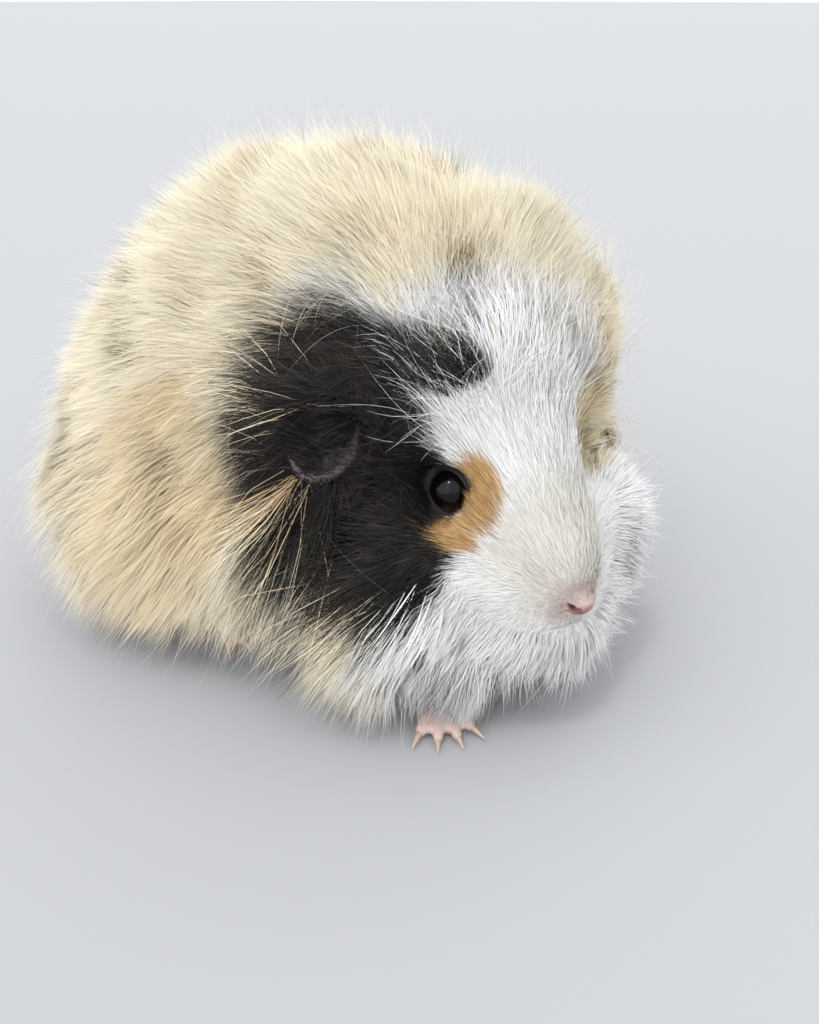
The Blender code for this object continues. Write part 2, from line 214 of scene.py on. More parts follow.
class Shader:
    """One material under construction."""

    def __init__(self, name):
        self.material = bpy.data.materials.new(name)
        self.material.use_nodes = True
        self.tree = self.material.node_tree
        self.principled = self.tree.nodes["Principled BSDF"]

    def plug(self, value, socket):
        if isinstance(value, Value):
            self.tree.links.new(value.socket, socket)
        else:
            socket.default_value = value

    def make(self, kind, settings=None, inputs=None, output=0):
        node = self.tree.nodes.new(kind)
        for key, value in (settings or {}).items():
            setattr(node, key, value)
        for key, value in (inputs or {}).items():
            self.plug(value, node.inputs[key])
        return Value(self, node.outputs[output])

    def mix(self, low, high, amount):
        """A colour between two colours."""
        node = self.tree.nodes.new("ShaderNodeMix")
        node.data_type = "RGBA"
        self.plug(amount, node.inputs[0])
        self.plug(low, node.inputs[6])
        self.plug(high, node.inputs[7])
        return Value(self, node.outputs[2])

    def vector(self, operation, *inputs, output="Vector"):
        return self.make("ShaderNodeVectorMath", {"operation": operation}, dict(enumerate(inputs)), output)

    def noise(self, place, scale, detail):
        return self.make("ShaderNodeTexNoise", None, {"Vector": place, "Scale": scale, "Detail": detail}, "Fac")

    def attribute(self, name, output="Fac"):
        return self.make("ShaderNodeAttribute", {"attribute_name": name}, None, output)

    def ramp(self, value, low, high):
        """0 below low, 1 above high, and smooth between."""
        settings = {"interpolation_type": "SMOOTHSTEP"}
        return self.make("ShaderNodeMapRange", settings, {"Value": value, "From Min": low, "From Max": high})

    def finish(self, **inputs):
        for key, value in inputs.items():
            self.plug(value, self.principled.inputs[key.replace("_", " ")])
        return self.material


def rgb(red, green, blue):
    """A colour from the everyday 0 to 255 scale, turned into the shader's linear one."""
    def linear(v):
        v = v / 255.0
        return v / 12.92 if v < 0.04045 else ((v + 0.055) / 1.055) ** 2.4
    return (linear(red), linear(green), linear(blue), 1.0)


print("a fur cream in the shader's own numbers:", [round(v, 2) for v in rgb(238, 218, 175)])

# %% [markdown]
# ## From the tips of the coat down to the skin
# The solids show where the coat ends. The skin lies below that by the length of the fur: two or three
# millimetres on the face and close to three centimetres on the rump. A voxel remesh turns all the pieces of
# flesh into one closed surface. The front of the head is that same surface moved inwards by the short fur
# of the face, so it keeps every form of the muzzle and the brow. Behind the ears the fur is longer than the
# body is detailed, so a few plain balls make the body, and a second remesh melts everything together.

# %% Small mesh helpers
FLESH = ("head", "lower_jaw", "neck", "chest", "trunk", "rump",
         "foreleg_right", "foreleg_left", "hind_leg_right", "hind_leg_left")
FEET = ("forefoot_right", "forefoot_left", "hindfoot_right", "hindfoot_left")
EARS = ("ear_right", "ear_left")


def new_object(name, points, faces):
    mesh = bpy.data.meshes.new(name)
    mesh.from_pydata([tuple(p) for p in points], [], [tuple(f) for f in faces])
    mesh.update()
    obj = bpy.data.objects.new(name, mesh)
    SCENE.collection.objects.link(obj)
    return obj


def points_of(mesh):
    flat = np.empty(len(mesh.vertices) * 3, np.float32)
    mesh.vertices.foreach_get("co", flat)
    return flat.reshape(-1, 3).astype(np.float64)


def normals_of(mesh):
    flat = np.empty(len(mesh.vertices) * 3, np.float32)
    mesh.vertex_normals.foreach_get("vector", flat)
    return flat.reshape(-1, 3).astype(np.float64)


def triangles_of(mesh):
    mesh.calc_loop_triangles()
    flat = np.empty(len(mesh.loop_triangles) * 3, np.int32)
    mesh.loop_triangles.foreach_get("vertices", flat)
    return flat.reshape(-1, 3)


def set_points(mesh, points):
    mesh.vertices.foreach_set("co", np.asarray(points, np.float32).ravel())
    mesh.update()


def joined(nodes, grow=0.0):
    """The meshes of several nodes as one list of points and faces, each point moved out by grow."""
    points, faces, count = [], [], 0
    for node in nodes:
        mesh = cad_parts[node].data
        points.append(points_of(mesh) + grow * normals_of(mesh))
        faces.append(triangles_of(mesh) + count)
        count += len(mesh.vertices)
    return np.concatenate(points), np.concatenate(faces)


def evaluated(obj):
    """Swaps the object's mesh for the one its modifiers make."""
    graph = bpy.context.evaluated_depsgraph_get()
    mesh = bpy.data.meshes.new_from_object(obj.evaluated_get(graph))
    obj.modifiers.clear()
    obj.data = mesh
    return obj


def voxel_skin(obj, voxel, smooth):
    remesh = obj.modifiers.new("one surface", "REMESH")
    remesh.mode = "VOXEL"
    remesh.voxel_size = voxel
    if smooth:
        relax = obj.modifiers.new("relax", "SMOOTH")
        relax.factor = 0.5
        relax.iterations = smooth
    return evaluated(obj)


def ball(name, center, axes, turn=None, rings=16, segments=24):
    """A closed ellipsoid, used as a building form of the skin."""
    bm = bmesh.new()
    bmesh.ops.create_uvsphere(bm, u_segments=segments, v_segments=rings, radius=1.0)
    matrix = Matrix.Translation(center) @ (turn or Matrix()).to_4x4() @ Matrix.Diagonal((*axes, 1.0))
    bm.transform(matrix)
    mesh = bpy.data.meshes.new(name)
    bm.to_mesh(mesh)
    bm.free()
    return mesh


def relax(obj, factor, steps):
    """Smooths the object's mesh."""
    modifier = obj.modifiers.new("relax", "SMOOTH")
    modifier.factor = factor
    modifier.iterations = steps
    return evaluated(obj)


def beside_box(points, node):
    """How far each point lies outside the box of a solid, 0 inside it."""
    low, high = (np.array(corner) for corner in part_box(node))
    return np.linalg.norm(np.maximum(np.maximum(low - points, points - high), 0.0), axis=1)


def smoothstep(value, low, high):
    t = np.clip((value - low) / (high - low), 0.0, 1.0)
    return t * t * (3.0 - 2.0 * t)


def bump_at(points, center, axes):
    """1 in the middle of an ellipsoid given in head millimetres, 0 outside it."""
    away = np.linalg.norm((points - np.array(center)) / np.array(axes), axis=1)
    return 1.0 - smoothstep(away, 0.0, 1.0)


print("flesh:", len(FLESH), "solids")

# %% The surface of the coat's tips
ENVELOPE_VOXEL = 1.8 * MM
outside = new_object("coat_tips", *joined(FLESH, grow=0.5 * MM))
voxel_skin(outside, ENVELOPE_VOXEL, 6)
envelope_points = points_of(outside.data)
envelope_triangles = triangles_of(outside.data)
envelope = BVHTree.FromPolygons(envelope_points.tolist(), envelope_triangles.tolist())
print("coat tips:", len(envelope_points), "points")

# %% The front of the head, moved in by the depth of its fur
SKULL_AT = np.array((3.0, 0.0, -3.0))
SKULL_AXES = np.array((40.0, 27.0, 28.0))


def coat_depth(points):
    """How far the skin of the head lies below the tips, in metres."""
    h = head_mm(points)
    back = -h[:, 0] + 0.10 * np.abs(h[:, 1]) + 0.12 * np.clip(h[:, 2], 0, 60)
    depth = 2.2 + 6.0 * smoothstep(back, 2.0, 18.0) + 7.0 * smoothstep(back, 18.0, 34.0)
    throat = smoothstep(-h[:, 2], 14.0, 34.0) * smoothstep(-h[:, 0], -28.0, -4.0)
    near_nose = smoothstep(np.linalg.norm(h - NOSE_MM, axis=1), 4.0, 15.0)
    return MM * np.maximum(depth, 2.2 + 11.0 * throat) * (0.25 + 0.75 * near_nose)


def smoothed_normals(obj, steps):
    copy = bpy.data.objects.new("smoothing copy", obj.data.copy())
    SCENE.collection.objects.link(copy)
    relax(copy, 0.5, steps)
    result = normals_of(copy.data)
    bpy.data.objects.remove(copy)
    return result


def within_skull(points):
    """Points outside the skull's ellipsoid are drawn in to it, so that the front stays a closed form."""
    q = (head_mm(points) - SKULL_AT) / SKULL_AXES
    q = q / np.maximum(np.linalg.norm(q, axis=1, keepdims=True), 1.0)
    return np.array(HEAD_AT) + (q * SKULL_AXES + SKULL_AT) * MM @ HEAD_AXES.T


face = new_object("face", envelope_points, envelope_triangles)
envelope_normals = smoothed_normals(face, 25)
moved = envelope_points - envelope_normals * coat_depth(envelope_points)[:, None]
set_points(face.data, within_skull(moved))
print("face:", len(face.data.vertices), "points")

# %% [markdown]
# ## Body, legs, ears and feet join the skin
# A guinea pig is a barrel with almost no neck. Its legs are short and mostly hidden, and each is a row of
# balls from the belly to the foot. The feet and the ears keep the size of their solids, because they have
# hardly any fur.

# %% Balls for the body and the legs
BODY_BALLS = (
    # centre and half-axes in millimetres, in the scene's axes
    ((-2, 4, 62), (46, 41, 37)),
    ((-30, 1, 52), (34, 37, 33)),
    ((20, 6, 66), (36, 38, 36)),
    ((30, 0, 58), (26, 32, 32)),
    ((50, -5, 37), (24, 27, 23)),
    ((-22, -16, 42), (28, 20, 24)),
    ((-26, 20, 42), (28, 20, 24)),
)
LIMB_RADIUS = {"forefoot_right": 5.0, "forefoot_left": 5.0, "hindfoot_right": 6.5, "hindfoot_left": 6.5}
EAR_BASE_RADIUS = 11.5 * MM

parts = [(points_of(face.data), triangles_of(face.data))]


def add_ball(center, axes, turn=None):
    mesh = ball("form", center, axes, turn)
    parts.append((points_of(mesh), triangles_of(mesh)))
    bpy.data.meshes.remove(mesh)


for center, axes in BODY_BALLS:
    add_ball(Vector(center) * MM, Vector(axes) * MM)
for foot in FEET:
    low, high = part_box(foot)
    ankle = 0.5 * (low + high)
    ankle.z = 0.8 * high.z
    inward = Vector((0.01, 0.0, 0.045)) - ankle
    inward.z = 0.0
    hip = ankle + 0.45 * inward + Vector((-0.004, 0.0, 0.030))
    for share in (0.0, 0.2, 0.4, 0.6, 0.8, 1.0):
        size = LIMB_RADIUS[foot] * MM * (0.75 + 0.9 * share)
        add_ball(ankle.lerp(hip, share), (size, size, size))
print("forms:", len(parts))

# %% Toes
# Each toe is a row of small balls that ends just over the base of its claw.
CLAWS = {}
for name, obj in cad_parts.items():
    if name.startswith("claw_"):
        ends = points_of(obj.data)
        middle = ends.mean(axis=0)
        axis = np.linalg.svd(ends - middle, full_matrices=False)[2][0]
        half = np.abs((ends - middle) @ axis).max()
        low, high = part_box(name[len("claw_"):name.rindex("_")])
        axis = axis * np.sign(axis @ (middle - np.array(0.5 * (low + high))))
        CLAWS[name] = (middle - axis * half, middle + axis * half)
        for share, size in ((-0.4, 1.35), (0.6, 1.45), (1.7, 1.6), (2.9, 1.8), (4.2, 2.0), (5.6, 2.2)):
            place = Vector(CLAWS[name][0] - axis * share * MM)
            place.z = max(place.z, (size + 0.05) * MM)
            add_ball(place, (size * MM, 0.9 * size * MM, size * MM))
print("claws:", len(CLAWS))

# %% Feet, nose and ears
for node in FEET + EARS + ("nose",):
    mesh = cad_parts[node].data
    parts.append((points_of(mesh), triangles_of(mesh)))
for ear in EARS:
    low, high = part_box(ear)
    center = 0.5 * (low + high)
    inward = (HEAD_AT - 0.022 * HEAD_X - center).normalized()
    add_ball(center + inward * 1.25 * EAR_BASE_RADIUS, (EAR_BASE_RADIUS,) * 3)
    root = Vector((center.x, center.y, low.z + 0.25 * (high.z - low.z)))
    for share in (0.0, 0.5, 1.0):
        size = (2.6 + 1.6 * share) * MM
        add_ball(root + inward * 0.010 * share, (size, size, size))

EAR_RIM = {}
for ear in EARS:
    # The front and lower edge of the ear is a rolled rim, a row of small balls along the outline of the flap.
    flat = points_of(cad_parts[ear].data)
    center = flat.mean(axis=0)
    thin, tall = np.linalg.svd(flat - center, full_matrices=False)[2][[2, 0]]
    thin = thin * np.sign(thin @ (center - np.array(HEAD_AT)))
    tall = tall * np.sign(tall[2])
    wide = np.cross(tall, thin)
    wide = wide * np.sign(wide @ np.array(HEAD_X))
    reach_wide, reach_tall = (np.abs((flat - center) @ axis).max() - 0.8 * MM for axis in (wide, tall))
    angles = np.radians(np.linspace(70.0, -125.0, 34))
    EAR_RIM[ear] = np.array([
        center + wide * reach_wide * math.cos(a) + tall * reach_tall * math.sin(a) + thin * 1.0 * MM for a in angles
    ])
    for number, place in enumerate(EAR_RIM[ear]):
        size = (0.75 + 0.35 * math.sin(math.pi * number / 33)) * MM
        add_ball(Vector(place), (size, size, size))
print("forms:", len(parts))

# %% Eye sockets, and all of it made one
for side in EYES:
    # Three balls close the socket round the eyeball, each wider and deeper than the one before.
    outward = HEAD_TURN @ Vector(EYE_OUTWARD[side])
    for inward, radius in ((2.2, 5.3), (5.6, 7.8), (9.2, 11.0)):
        add_ball(EYES[side] - outward * inward * MM, (radius * MM,) * 3)

first = np.cumsum([0] + [len(points) for points, _ in parts])
skin = new_object("skin", np.concatenate([points for points, _ in parts]),
                  np.concatenate([faces + start for (_, faces), start in zip(parts, first)]))
voxel_skin(skin, 0.9 * MM, 0)
bpy.data.objects.remove(face)
print("skin:", len(skin.data.polygons), "faces")

# %% Melt the balls together
# Far from the small features the balls are melted together by a strong relaxation.
sharp = points_of(skin.data)
soft = bpy.data.objects.new("soft copy", skin.data.copy())
SCENE.collection.objects.link(soft)
relax(soft, 0.6, 60)
h = head_mm(sharp)
keep = np.zeros(len(sharp))
for place, radius in ((NOSE_MM, 22.0), (EYE_MM["right"], 13.0), (EYE_MM["left"], 13.0)):
    keep = np.maximum(keep, 1.0 - smoothstep(np.linalg.norm(h - place, axis=1), 0.45 * radius, radius))
for node in EARS + FEET:
    keep = np.maximum(keep, 1.0 - smoothstep(beside_box(sharp, node), 0.0, 3.0 * MM))
set_points(skin.data, sharp * keep[:, None] + points_of(soft.data) * (1.0 - keep[:, None]))
bpy.data.objects.remove(soft)
print("points kept sharp:", int((keep > 0.5).sum()))

# %% [markdown]
# ## Nose, mouth and eye sockets
# The muzzle of a guinea pig ends in a small bare pad with two comma-shaped nostrils. Below it a groove
# runs down to the split upper lip. These are small beside the voxels, so the mesh is first split finer
# round the nose and the eyes. Then the points are pushed in or out by smooth bumps given in head
# millimetres. A socket is a hole a little wider than the eyeball.

# %% Finer mesh where the detail is
def refine(obj, test, cuts):
    bm = bmesh.new()
    bm.from_mesh(obj.data)
    bm.verts.ensure_lookup_table()
    chosen = test(np.array([v.co for v in bm.verts]))
    edges = [e for e in bm.edges if chosen[e.verts[0].index] and chosen[e.verts[1].index]]
    bmesh.ops.subdivide_edges(bm, edges=edges, cuts=cuts, use_grid_fill=True)
    bmesh.ops.triangulate(bm, faces=[f for f in bm.faces if len(f.verts) > 4])
    bm.to_mesh(obj.data)
    bm.free()


def near_detail(points):
    h = head_mm(points)
    nose = np.linalg.norm(h - NOSE_MM, axis=1) < 9.0
    eyes = np.minimum(*(np.linalg.norm(h - EYE_MM[side], axis=1) for side in EYE_MM)) < 9.0
    return nose | eyes


refine(skin, near_detail, 2)
relax(skin, 0.5, 2)
print("skin:", len(skin.data.polygons), "faces after refining")

# %% Shape the nose and mouth
def mouth_height(points):
    """The line of the mouth, which falls away to both sides."""
    return NOSE_MM[2] - 7.2 - 0.05 * np.abs(points[:, 1]) ** 1.5


def face_tools(points):
    """Moves points given in head millimetres; every tool is a smooth bump with a direction."""
    nx, ny, nz = NOSE_MM
    tools = (
        # place, half-axes, push
        ((nx + 1.5, 0.0, nz + 0.2), (2.6, 3.2, 2.4), (0.5, 0.0, 0.1)),
        # the groove from the nose to the lip
        ((nx + 1.0, 0.0, nz - 3.6), (4.5, 0.8, 2.6), (-1.1, 0.0, 0.2)),
        # the two halves of the upper lip
        ((nx - 0.5, -2.6, nz - 4.6), (4.0, 2.6, 3.0), (0.5, -0.3, -0.2)),
        ((nx - 0.5, 2.6, nz - 4.6), (4.0, 2.6, 3.0), (0.5, 0.3, -0.2)),
    )
    moved = points.copy()
    for center, axes, push in tools:
        moved += bump_at(points, center, axes)[:, None] * np.array(push)
    for side in (-1.0, 1.0):
        # a nostril: a short slot that runs outwards and up
        local = points - np.array((nx + 1.2, side * 2.7, nz + 0.2))
        turned = local.copy()
        turned[:, 1] = local[:, 1] * 0.80 + side * local[:, 2] * 0.60
        turned[:, 2] = local[:, 2] * 0.80 - side * local[:, 1] * 0.60
        slot = 1.0 - smoothstep(np.linalg.norm(turned / np.array((3.2, 1.9, 0.8)), axis=1), 0.25, 1.0)
        moved += slot[:, None] * np.array((-1.5, -side * 0.5, 0.0))
    # the mouth: a shallow groove from the split lip back along the jaw
    across = np.abs(points[:, 1])
    line = mouth_height(points)
    groove = (1.0 - smoothstep(np.abs(points[:, 2] - line), 0.0, 1.0)) * (1.0 - smoothstep(across, 5.0, 9.0))
    groove *= smoothstep(points[:, 0], nx - 11.0, nx - 6.0)
    moved[:, 0] -= 1.2 * groove
    return moved


h = face_tools(head_mm(points_of(skin.data)))
for side in EYE_MM:
    # Skin inside the socket's ball is pushed back onto it.
    away = h - EYE_MM[side]
    distance = np.linalg.norm(away, axis=1)
    socket = EYE_RADIUS / MM + 0.25
    inside = distance < socket
    outward = EYE_OUTWARD[side]
    facing = away @ outward / np.maximum(distance, 1e-6)
    # The mouth of the socket sinks behind the ball, and the rest closes on it.
    h[inside & (facing > 0.1)] -= outward * (socket * 1.1)
    h[inside & (facing <= 0.1)] = EYE_MM[side] + unit(away[inside & (facing <= 0.1)]) * socket
shaped = np.array(HEAD_AT) + h * MM @ HEAD_AXES.T
shaped[:, 2] = np.maximum(shaped[:, 2], 0.0)
set_points(skin.data, shaped)
print("nose at", NOSE_MM.round(1), "eyes at", {side: EYE_MM[side].round(1).tolist() for side in EYE_MM})

# %% [markdown]
# ## Eyelids
# An eyelid is a soft rim that lies on the eyeball. Here it is a ring of cross-sections. Each one starts
# under the rim on the ball, rolls over a rounded edge, and then runs outwards until it is below the skin
# of the face. The opening is an oval, a little drawn out to the front corner, where a patch of bare
# grey skin lies.

# %% Loft the lids
LID_STEPS = 72
LID_PROFILE = (
    # degrees outside the opening's edge, height above the ball in mm
    (-1.5, -0.25), (-2.0, 0.05), (-1.2, 0.30), (1.5, 0.46), (5.0, 0.50), (10.0, 0.46), (16.0, 0.36),
    (23.0, 0.20), (32.0, -0.10), (42.0, -0.60),
)


def eye_axes(side):
    """The eye's own axes: outward, forward and up, in head directions."""
    sign = -1.0 if side == "right" else 1.0
    outward = EYE_OUTWARD[side]
    forward = np.array((1.0, 0.0, -0.25))
    forward = unit(forward - outward * (forward @ outward))
    up = unit(np.cross(outward, forward) * -sign)
    up = up if up[2] > 0 else -up
    return outward, forward, up


def lid_opening(angle):
    """Half-angle of the opening in degrees at an angle round the eye, 0 to the front and 90 up."""
    front = max(0.0, math.cos(angle)) ** 6
    back = max(0.0, -math.cos(angle)) ** 4
    return 84.0 + 10.0 * front + 3.0 * back - 3.0 * math.sin(angle) ** 2


def make_lids(side):
    outward, forward, up = eye_axes(side)
    points, faces = [], []
    rows = len(LID_PROFILE)
    for step in range(LID_STEPS):
        angle = 2.0 * math.pi * step / LID_STEPS
        sideways = forward * math.cos(angle) + up * math.sin(angle)
        edge = lid_opening(angle)
        for extra, height in LID_PROFILE:
            slant = math.radians(edge + extra)
            direction = outward * math.cos(slant) + sideways * math.sin(slant)
            points.append(EYE_MM[side] + direction * (EYE_RADIUS / MM + height))
    for step in range(LID_STEPS):
        for row in range(rows - 1):
            a = step * rows + row
            b = ((step + 1) % LID_STEPS) * rows + row
            face = (a, b, b + 1, a + 1)
            faces.append(face if side == "right" else face[::-1])
    points = np.array(HEAD_AT) + np.array(points) * MM @ HEAD_AXES.T
    return points, faces


for side in EYES:
    points, faces = make_lids(side)
    bm = bmesh.new()
    bm.from_mesh(skin.data)
    verts = [bm.verts.new(p) for p in points]
    for face in faces:
        bm.faces.new([verts[i] for i in face])
    bm.normal_update()
    bm.to_mesh(skin.data)
    bm.free()
for polygon in skin.data.polygons:
    polygon.use_smooth = True
print("skin with lids:", len(skin.data.polygons), "faces")

# %% [markdown]
# ## How the coat lies
# Fur has a direction at every point of the body. On this animal it runs from the nose over the head, down
# the cheeks, and from the shoulders back and down over the flanks. It lies flat on the face and stands out
# more and more towards the rump. These are smooth fields, so they are worked out once for each point of the
# skin and read off in between for each tuft. A ray sent along the lie of the fur from the skin to the
# surface of the tips gives the length.

# %% Fields on the skin
skin_points = points_of(skin.data)
skin_triangles = triangles_of(skin.data)
edge_pairs = np.empty(len(skin.data.edges) * 2, np.int32)
skin.data.edges.foreach_get("vertices", edge_pairs)
edge_pairs = edge_pairs.reshape(-1, 2)
edge_count = np.bincount(edge_pairs.ravel(), minlength=len(skin_points)).astype(np.float64)


def relaxed(values, steps):
    """Averages a field with its neighbours on the skin."""
    values = np.array(values, np.float64)
    flat = values.ndim == 1
    if flat:
        values = values[:, None]
    for _ in range(steps):
        total = np.zeros_like(values)
        for column in range(values.shape[1]):
            for here, there in ((0, 1), (1, 0)):
                total[:, column] += np.bincount(
                    edge_pairs[:, here], values[edge_pairs[:, there], column], len(values)
                )
        values = 0.5 * values + 0.5 * total / np.maximum(edge_count, 1.0)[:, None]
    return values[:, 0] if flat else values


def along_skin(vectors, normals):
    return unit(vectors - normals * np.sum(vectors * normals, axis=1, keepdims=True))


skin_head = head_mm(skin_points)
skin_normals = unit(relaxed(normals_of(skin.data), 14))
nose_distance = np.linalg.norm(skin_head - NOSE_MM, axis=1)
behind = smoothstep(-skin_head[:, 0], 2.0, 30.0)
DOWN = np.array((0.0, 0.0, -1.0))

from_nose = unit(skin_head - NOSE_MM)
cheek = smoothstep(np.abs(skin_head[:, 1]), 10.0, 24.0) * smoothstep(-skin_head[:, 2], -8.0, 12.0)
head_flow = from_nose @ HEAD_AXES.T + cheek[:, None] * DOWN * 0.55
spread = np.zeros_like(skin_points)
spread[:, 1] = np.clip(skin_points[:, 1] / 0.040, -1.0, 1.0)
body_flow = np.array((-1.0, 0.0, -0.75)) + 0.45 * spread
# On the front of the shoulders the fur runs up and back, so that it doesn't part behind the head.
uphill = smoothstep(skin_normals[:, 0], -0.1, 0.4) * smoothstep(skin_points[:, 2], 0.050, 0.070)
body_flow[:, 2] += 1.35 * uphill
# On the rump it simply falls.
body_flow[:, 0] *= 1.0 - 0.9 * smoothstep(-skin_normals[:, 0], 0.15, 0.65)
flow = along_skin(head_flow * (1.0 - behind)[:, None] + body_flow * behind[:, None], skin_normals)
flow = along_skin(relaxed(flow, 20), skin_normals)

print("lie of the coat worked out at", len(flow), "points")

# %% How far the fur stands out
cover = np.empty(len(skin_points))
for index in range(len(skin_points)):
    cover[index] = envelope.find_nearest(Vector(skin_points[index]))[3] / MM
cover = relaxed(cover, 10)
stand = 0.19 + 0.38 * smoothstep(cover, 2.5, 7.0) + 0.16 * smoothstep(cover, 7.0, 14.0)
# Long fur gives way to gravity, most of all low on the sides and under the belly.
hang = smoothstep(cover, 5.0, 14.0) * (0.08 + 0.34 * smoothstep(0.080 - skin_points[:, 2], 0.0, 0.055))
lie = unit(skin_normals * stand[:, None] + flow * (1.0 - stand)[:, None] + DOWN * hang[:, None])
lie = unit(relaxed(lie, 6))

print("skin below the tips in mm:", np.percentile(cover, (1, 50, 99)).round(1))

# %% How long the fur is
reach = np.zeros(len(skin_points))
for index in range(len(skin_points)):
    reach[index] = envelope.ray_cast(Vector(skin_points[index]), Vector(lie[index]), 0.060)[3] or 0.0
# On the face the ray runs almost level with the skin, so there the depth of the fur sets the limit.
by_nose = np.interp(nose_distance, (3, 8, 20, 32, 45), (0.6, 1.8, 3.6, 6.0, 9.0))
longest = MM * np.maximum(by_nose, 2.0 * cover)
length = np.minimum(np.maximum(reach, 0.9 * MM), longest)
bare = np.zeros(len(skin_points))
for node in FEET:
    bare = np.maximum(bare, 1.0 - smoothstep(beside_box(skin_points, node), 0.0, 2.0 * MM))
in_ear = np.zeros(len(skin_points))
rim_distance = np.full(len(skin_points), 1.0)
for ear in EARS:
    beside = beside_box(skin_points, ear)
    in_ear = np.maximum(in_ear, 1.0 - smoothstep(beside, 0.0, 2.0 * MM))
    near = np.flatnonzero(beside < 4.0 * MM)
    away = np.linalg.norm(skin_points[near, None, :] - EAR_RIM[ear][None, :, :], axis=2).min(axis=1)
    rim_distance[near] = np.minimum(rim_distance[near], away)
length = np.where((bare > 0.5) & (in_ear < 0.5), np.minimum(length, 1.3 * MM), length)
# The flap of the ear wears fur of its own, all but its rolled rim.
ear_fur = 1.0 * MM + 5.5 * MM * smoothstep(rim_distance, 1.2 * MM, 4.0 * MM)
length = np.where(in_ear > 0.5, ear_fur, length)
length = relaxed(length, 4)
seat = skin_head + (lie @ HEAD_AXES) * (0.9 * length / MM)[:, None]
print("tuft length in mm:", np.percentile(length / MM, (1, 25, 50, 75, 99)).round(1))

# %% [markdown]
# ## Where the tufts grow
# Half of the tufts are scattered at random over the skin, more closely where the fur is short. Nothing
# grows on the eyeballs, on the nose pad or on the soles. The other half starts from the other end: a place is
# picked on the surface of the tips, and the root is looked for upstream of it on the skin. Without
# those the skirts and the cheeks, where the coat stands far out round a small form, would come out thin.
# Three more sorts are made for what they do: wisps end in the air outside the coat, drapes fall over the
# ears, and a fringe hangs over the front toes.

# %% Helpers to scatter tufts
def triangle_areas(points, triangles):
    corner = points[triangles]
    across = np.cross(corner[:, 1] - corner[:, 0], corner[:, 2] - corner[:, 0])
    return 0.5 * np.linalg.norm(across, axis=1), unit(across)


def face_along(points, triangles):
    """How far forward of the eyes each triangle lies, in millimetres of the head."""
    return head_mm(points[triangles].mean(axis=1))[:, 0]


def scatter(weight, count):
    """Random triangles and the shares of their three corners."""
    chosen = RNG.choice(len(weight), count, p=weight / weight.sum())
    u, v = RNG.random(count), RNG.random(count)
    flip = u + v > 1.0
    u, v = np.where(flip, 1.0 - u, u), np.where(flip, 1.0 - v, v)
    return chosen, np.stack((1.0 - u - v, u, v), axis=1)


def between(field, corners, share):
    values = field[corners]
    if values.ndim == 2:
        return np.sum(values * share, axis=1)
    return np.sum(values * share[:, :, None], axis=1)


print("triangles to grow on:", len(skin_triangles))

# %% Roots on the skin
FROM_SKIN = 205000
area, face_normal = triangle_areas(skin_points, skin_triangles)
third = np.full((len(skin_triangles), 3), 1.0 / 3.0)
face_head = between(skin_head, skin_triangles, third)
face_bare = between(bare, skin_triangles, third) > 0.5
fur_mm = between(length, skin_triangles, third) / MM
weight = area * np.interp(fur_mm, (1, 3, 6, 12, 25), (22, 24, 17, 7, 5))
for side in EYE_MM:
    weight *= np.linalg.norm(face_head - EYE_MM[side], axis=1) > EYE_RADIUS / MM + 1.3
nose_pad = np.linalg.norm((face_head - NOSE_MM - (1.0, 0.0, -0.5)) / (3.0, 3.9, 1.05), axis=1)
weight *= smoothstep(nose_pad, 0.85, 1.1)
weight *= between(skin_points, skin_triangles, third)[:, 2] > 1.2 * MM
weight *= 1.0 - 0.55 * smoothstep(-face_normal[:, 2], 0.3, 0.8)
weight *= 1.0 - 0.75 * (face_bare & (between(in_ear, skin_triangles, third) < 0.5))
chosen, share = scatter(weight, FROM_SKIN)
root = between(skin_points, skin_triangles[chosen], share)
root_lie = unit(between(lie, skin_triangles[chosen], share))
root_length = between(length, skin_triangles[chosen], share)

print("tufts from the skin:", FROM_SKIN)

# %% Tips on the surface of the coat
FROM_TIPS = 170000
skin_tree = BVHTree.FromPolygons(skin_points.tolist(), skin_triangles.tolist())
tip_area, tip_normal = triangle_areas(envelope_points, envelope_triangles)
tip_weight = tip_area * (1.0 - 0.6 * smoothstep(-tip_normal[:, 2], 0.3, 0.8))
tip_face, tip_share = scatter(tip_weight, FROM_TIPS)
tips = between(envelope_points, envelope_triangles[tip_face], tip_share)
NORMAL, WISP, DRAPE, FRINGE = 0, 1, 2, 3
kind = np.full(FROM_TIPS, NORMAL)

print("tufts from their tips:", FROM_TIPS)

# %% Tips of wisps
# A few long fine hairs end in the air a little outside the coat, most of them on top and behind.
WISPS = 6500
upward = np.clip(0.55 + 0.45 * tip_normal[:, 2] - 3.0 * tip_normal[:, 0] * 0.1, 0.05, 1.0)
upward *= smoothstep(-face_along(envelope_points, envelope_triangles), -6.0, 14.0)
wisp_face, wisp_share = scatter(tip_area * upward, WISPS)
outside_by = RNG.gamma(2.2, 1.7, WISPS).clip(0.5, 8.0) * MM
wisp_tips = between(envelope_points, envelope_triangles[wisp_face], wisp_share)
wisp_tips = wisp_tips + tip_normal[wisp_face] * outside_by[:, None]

print("wisps:", WISPS)

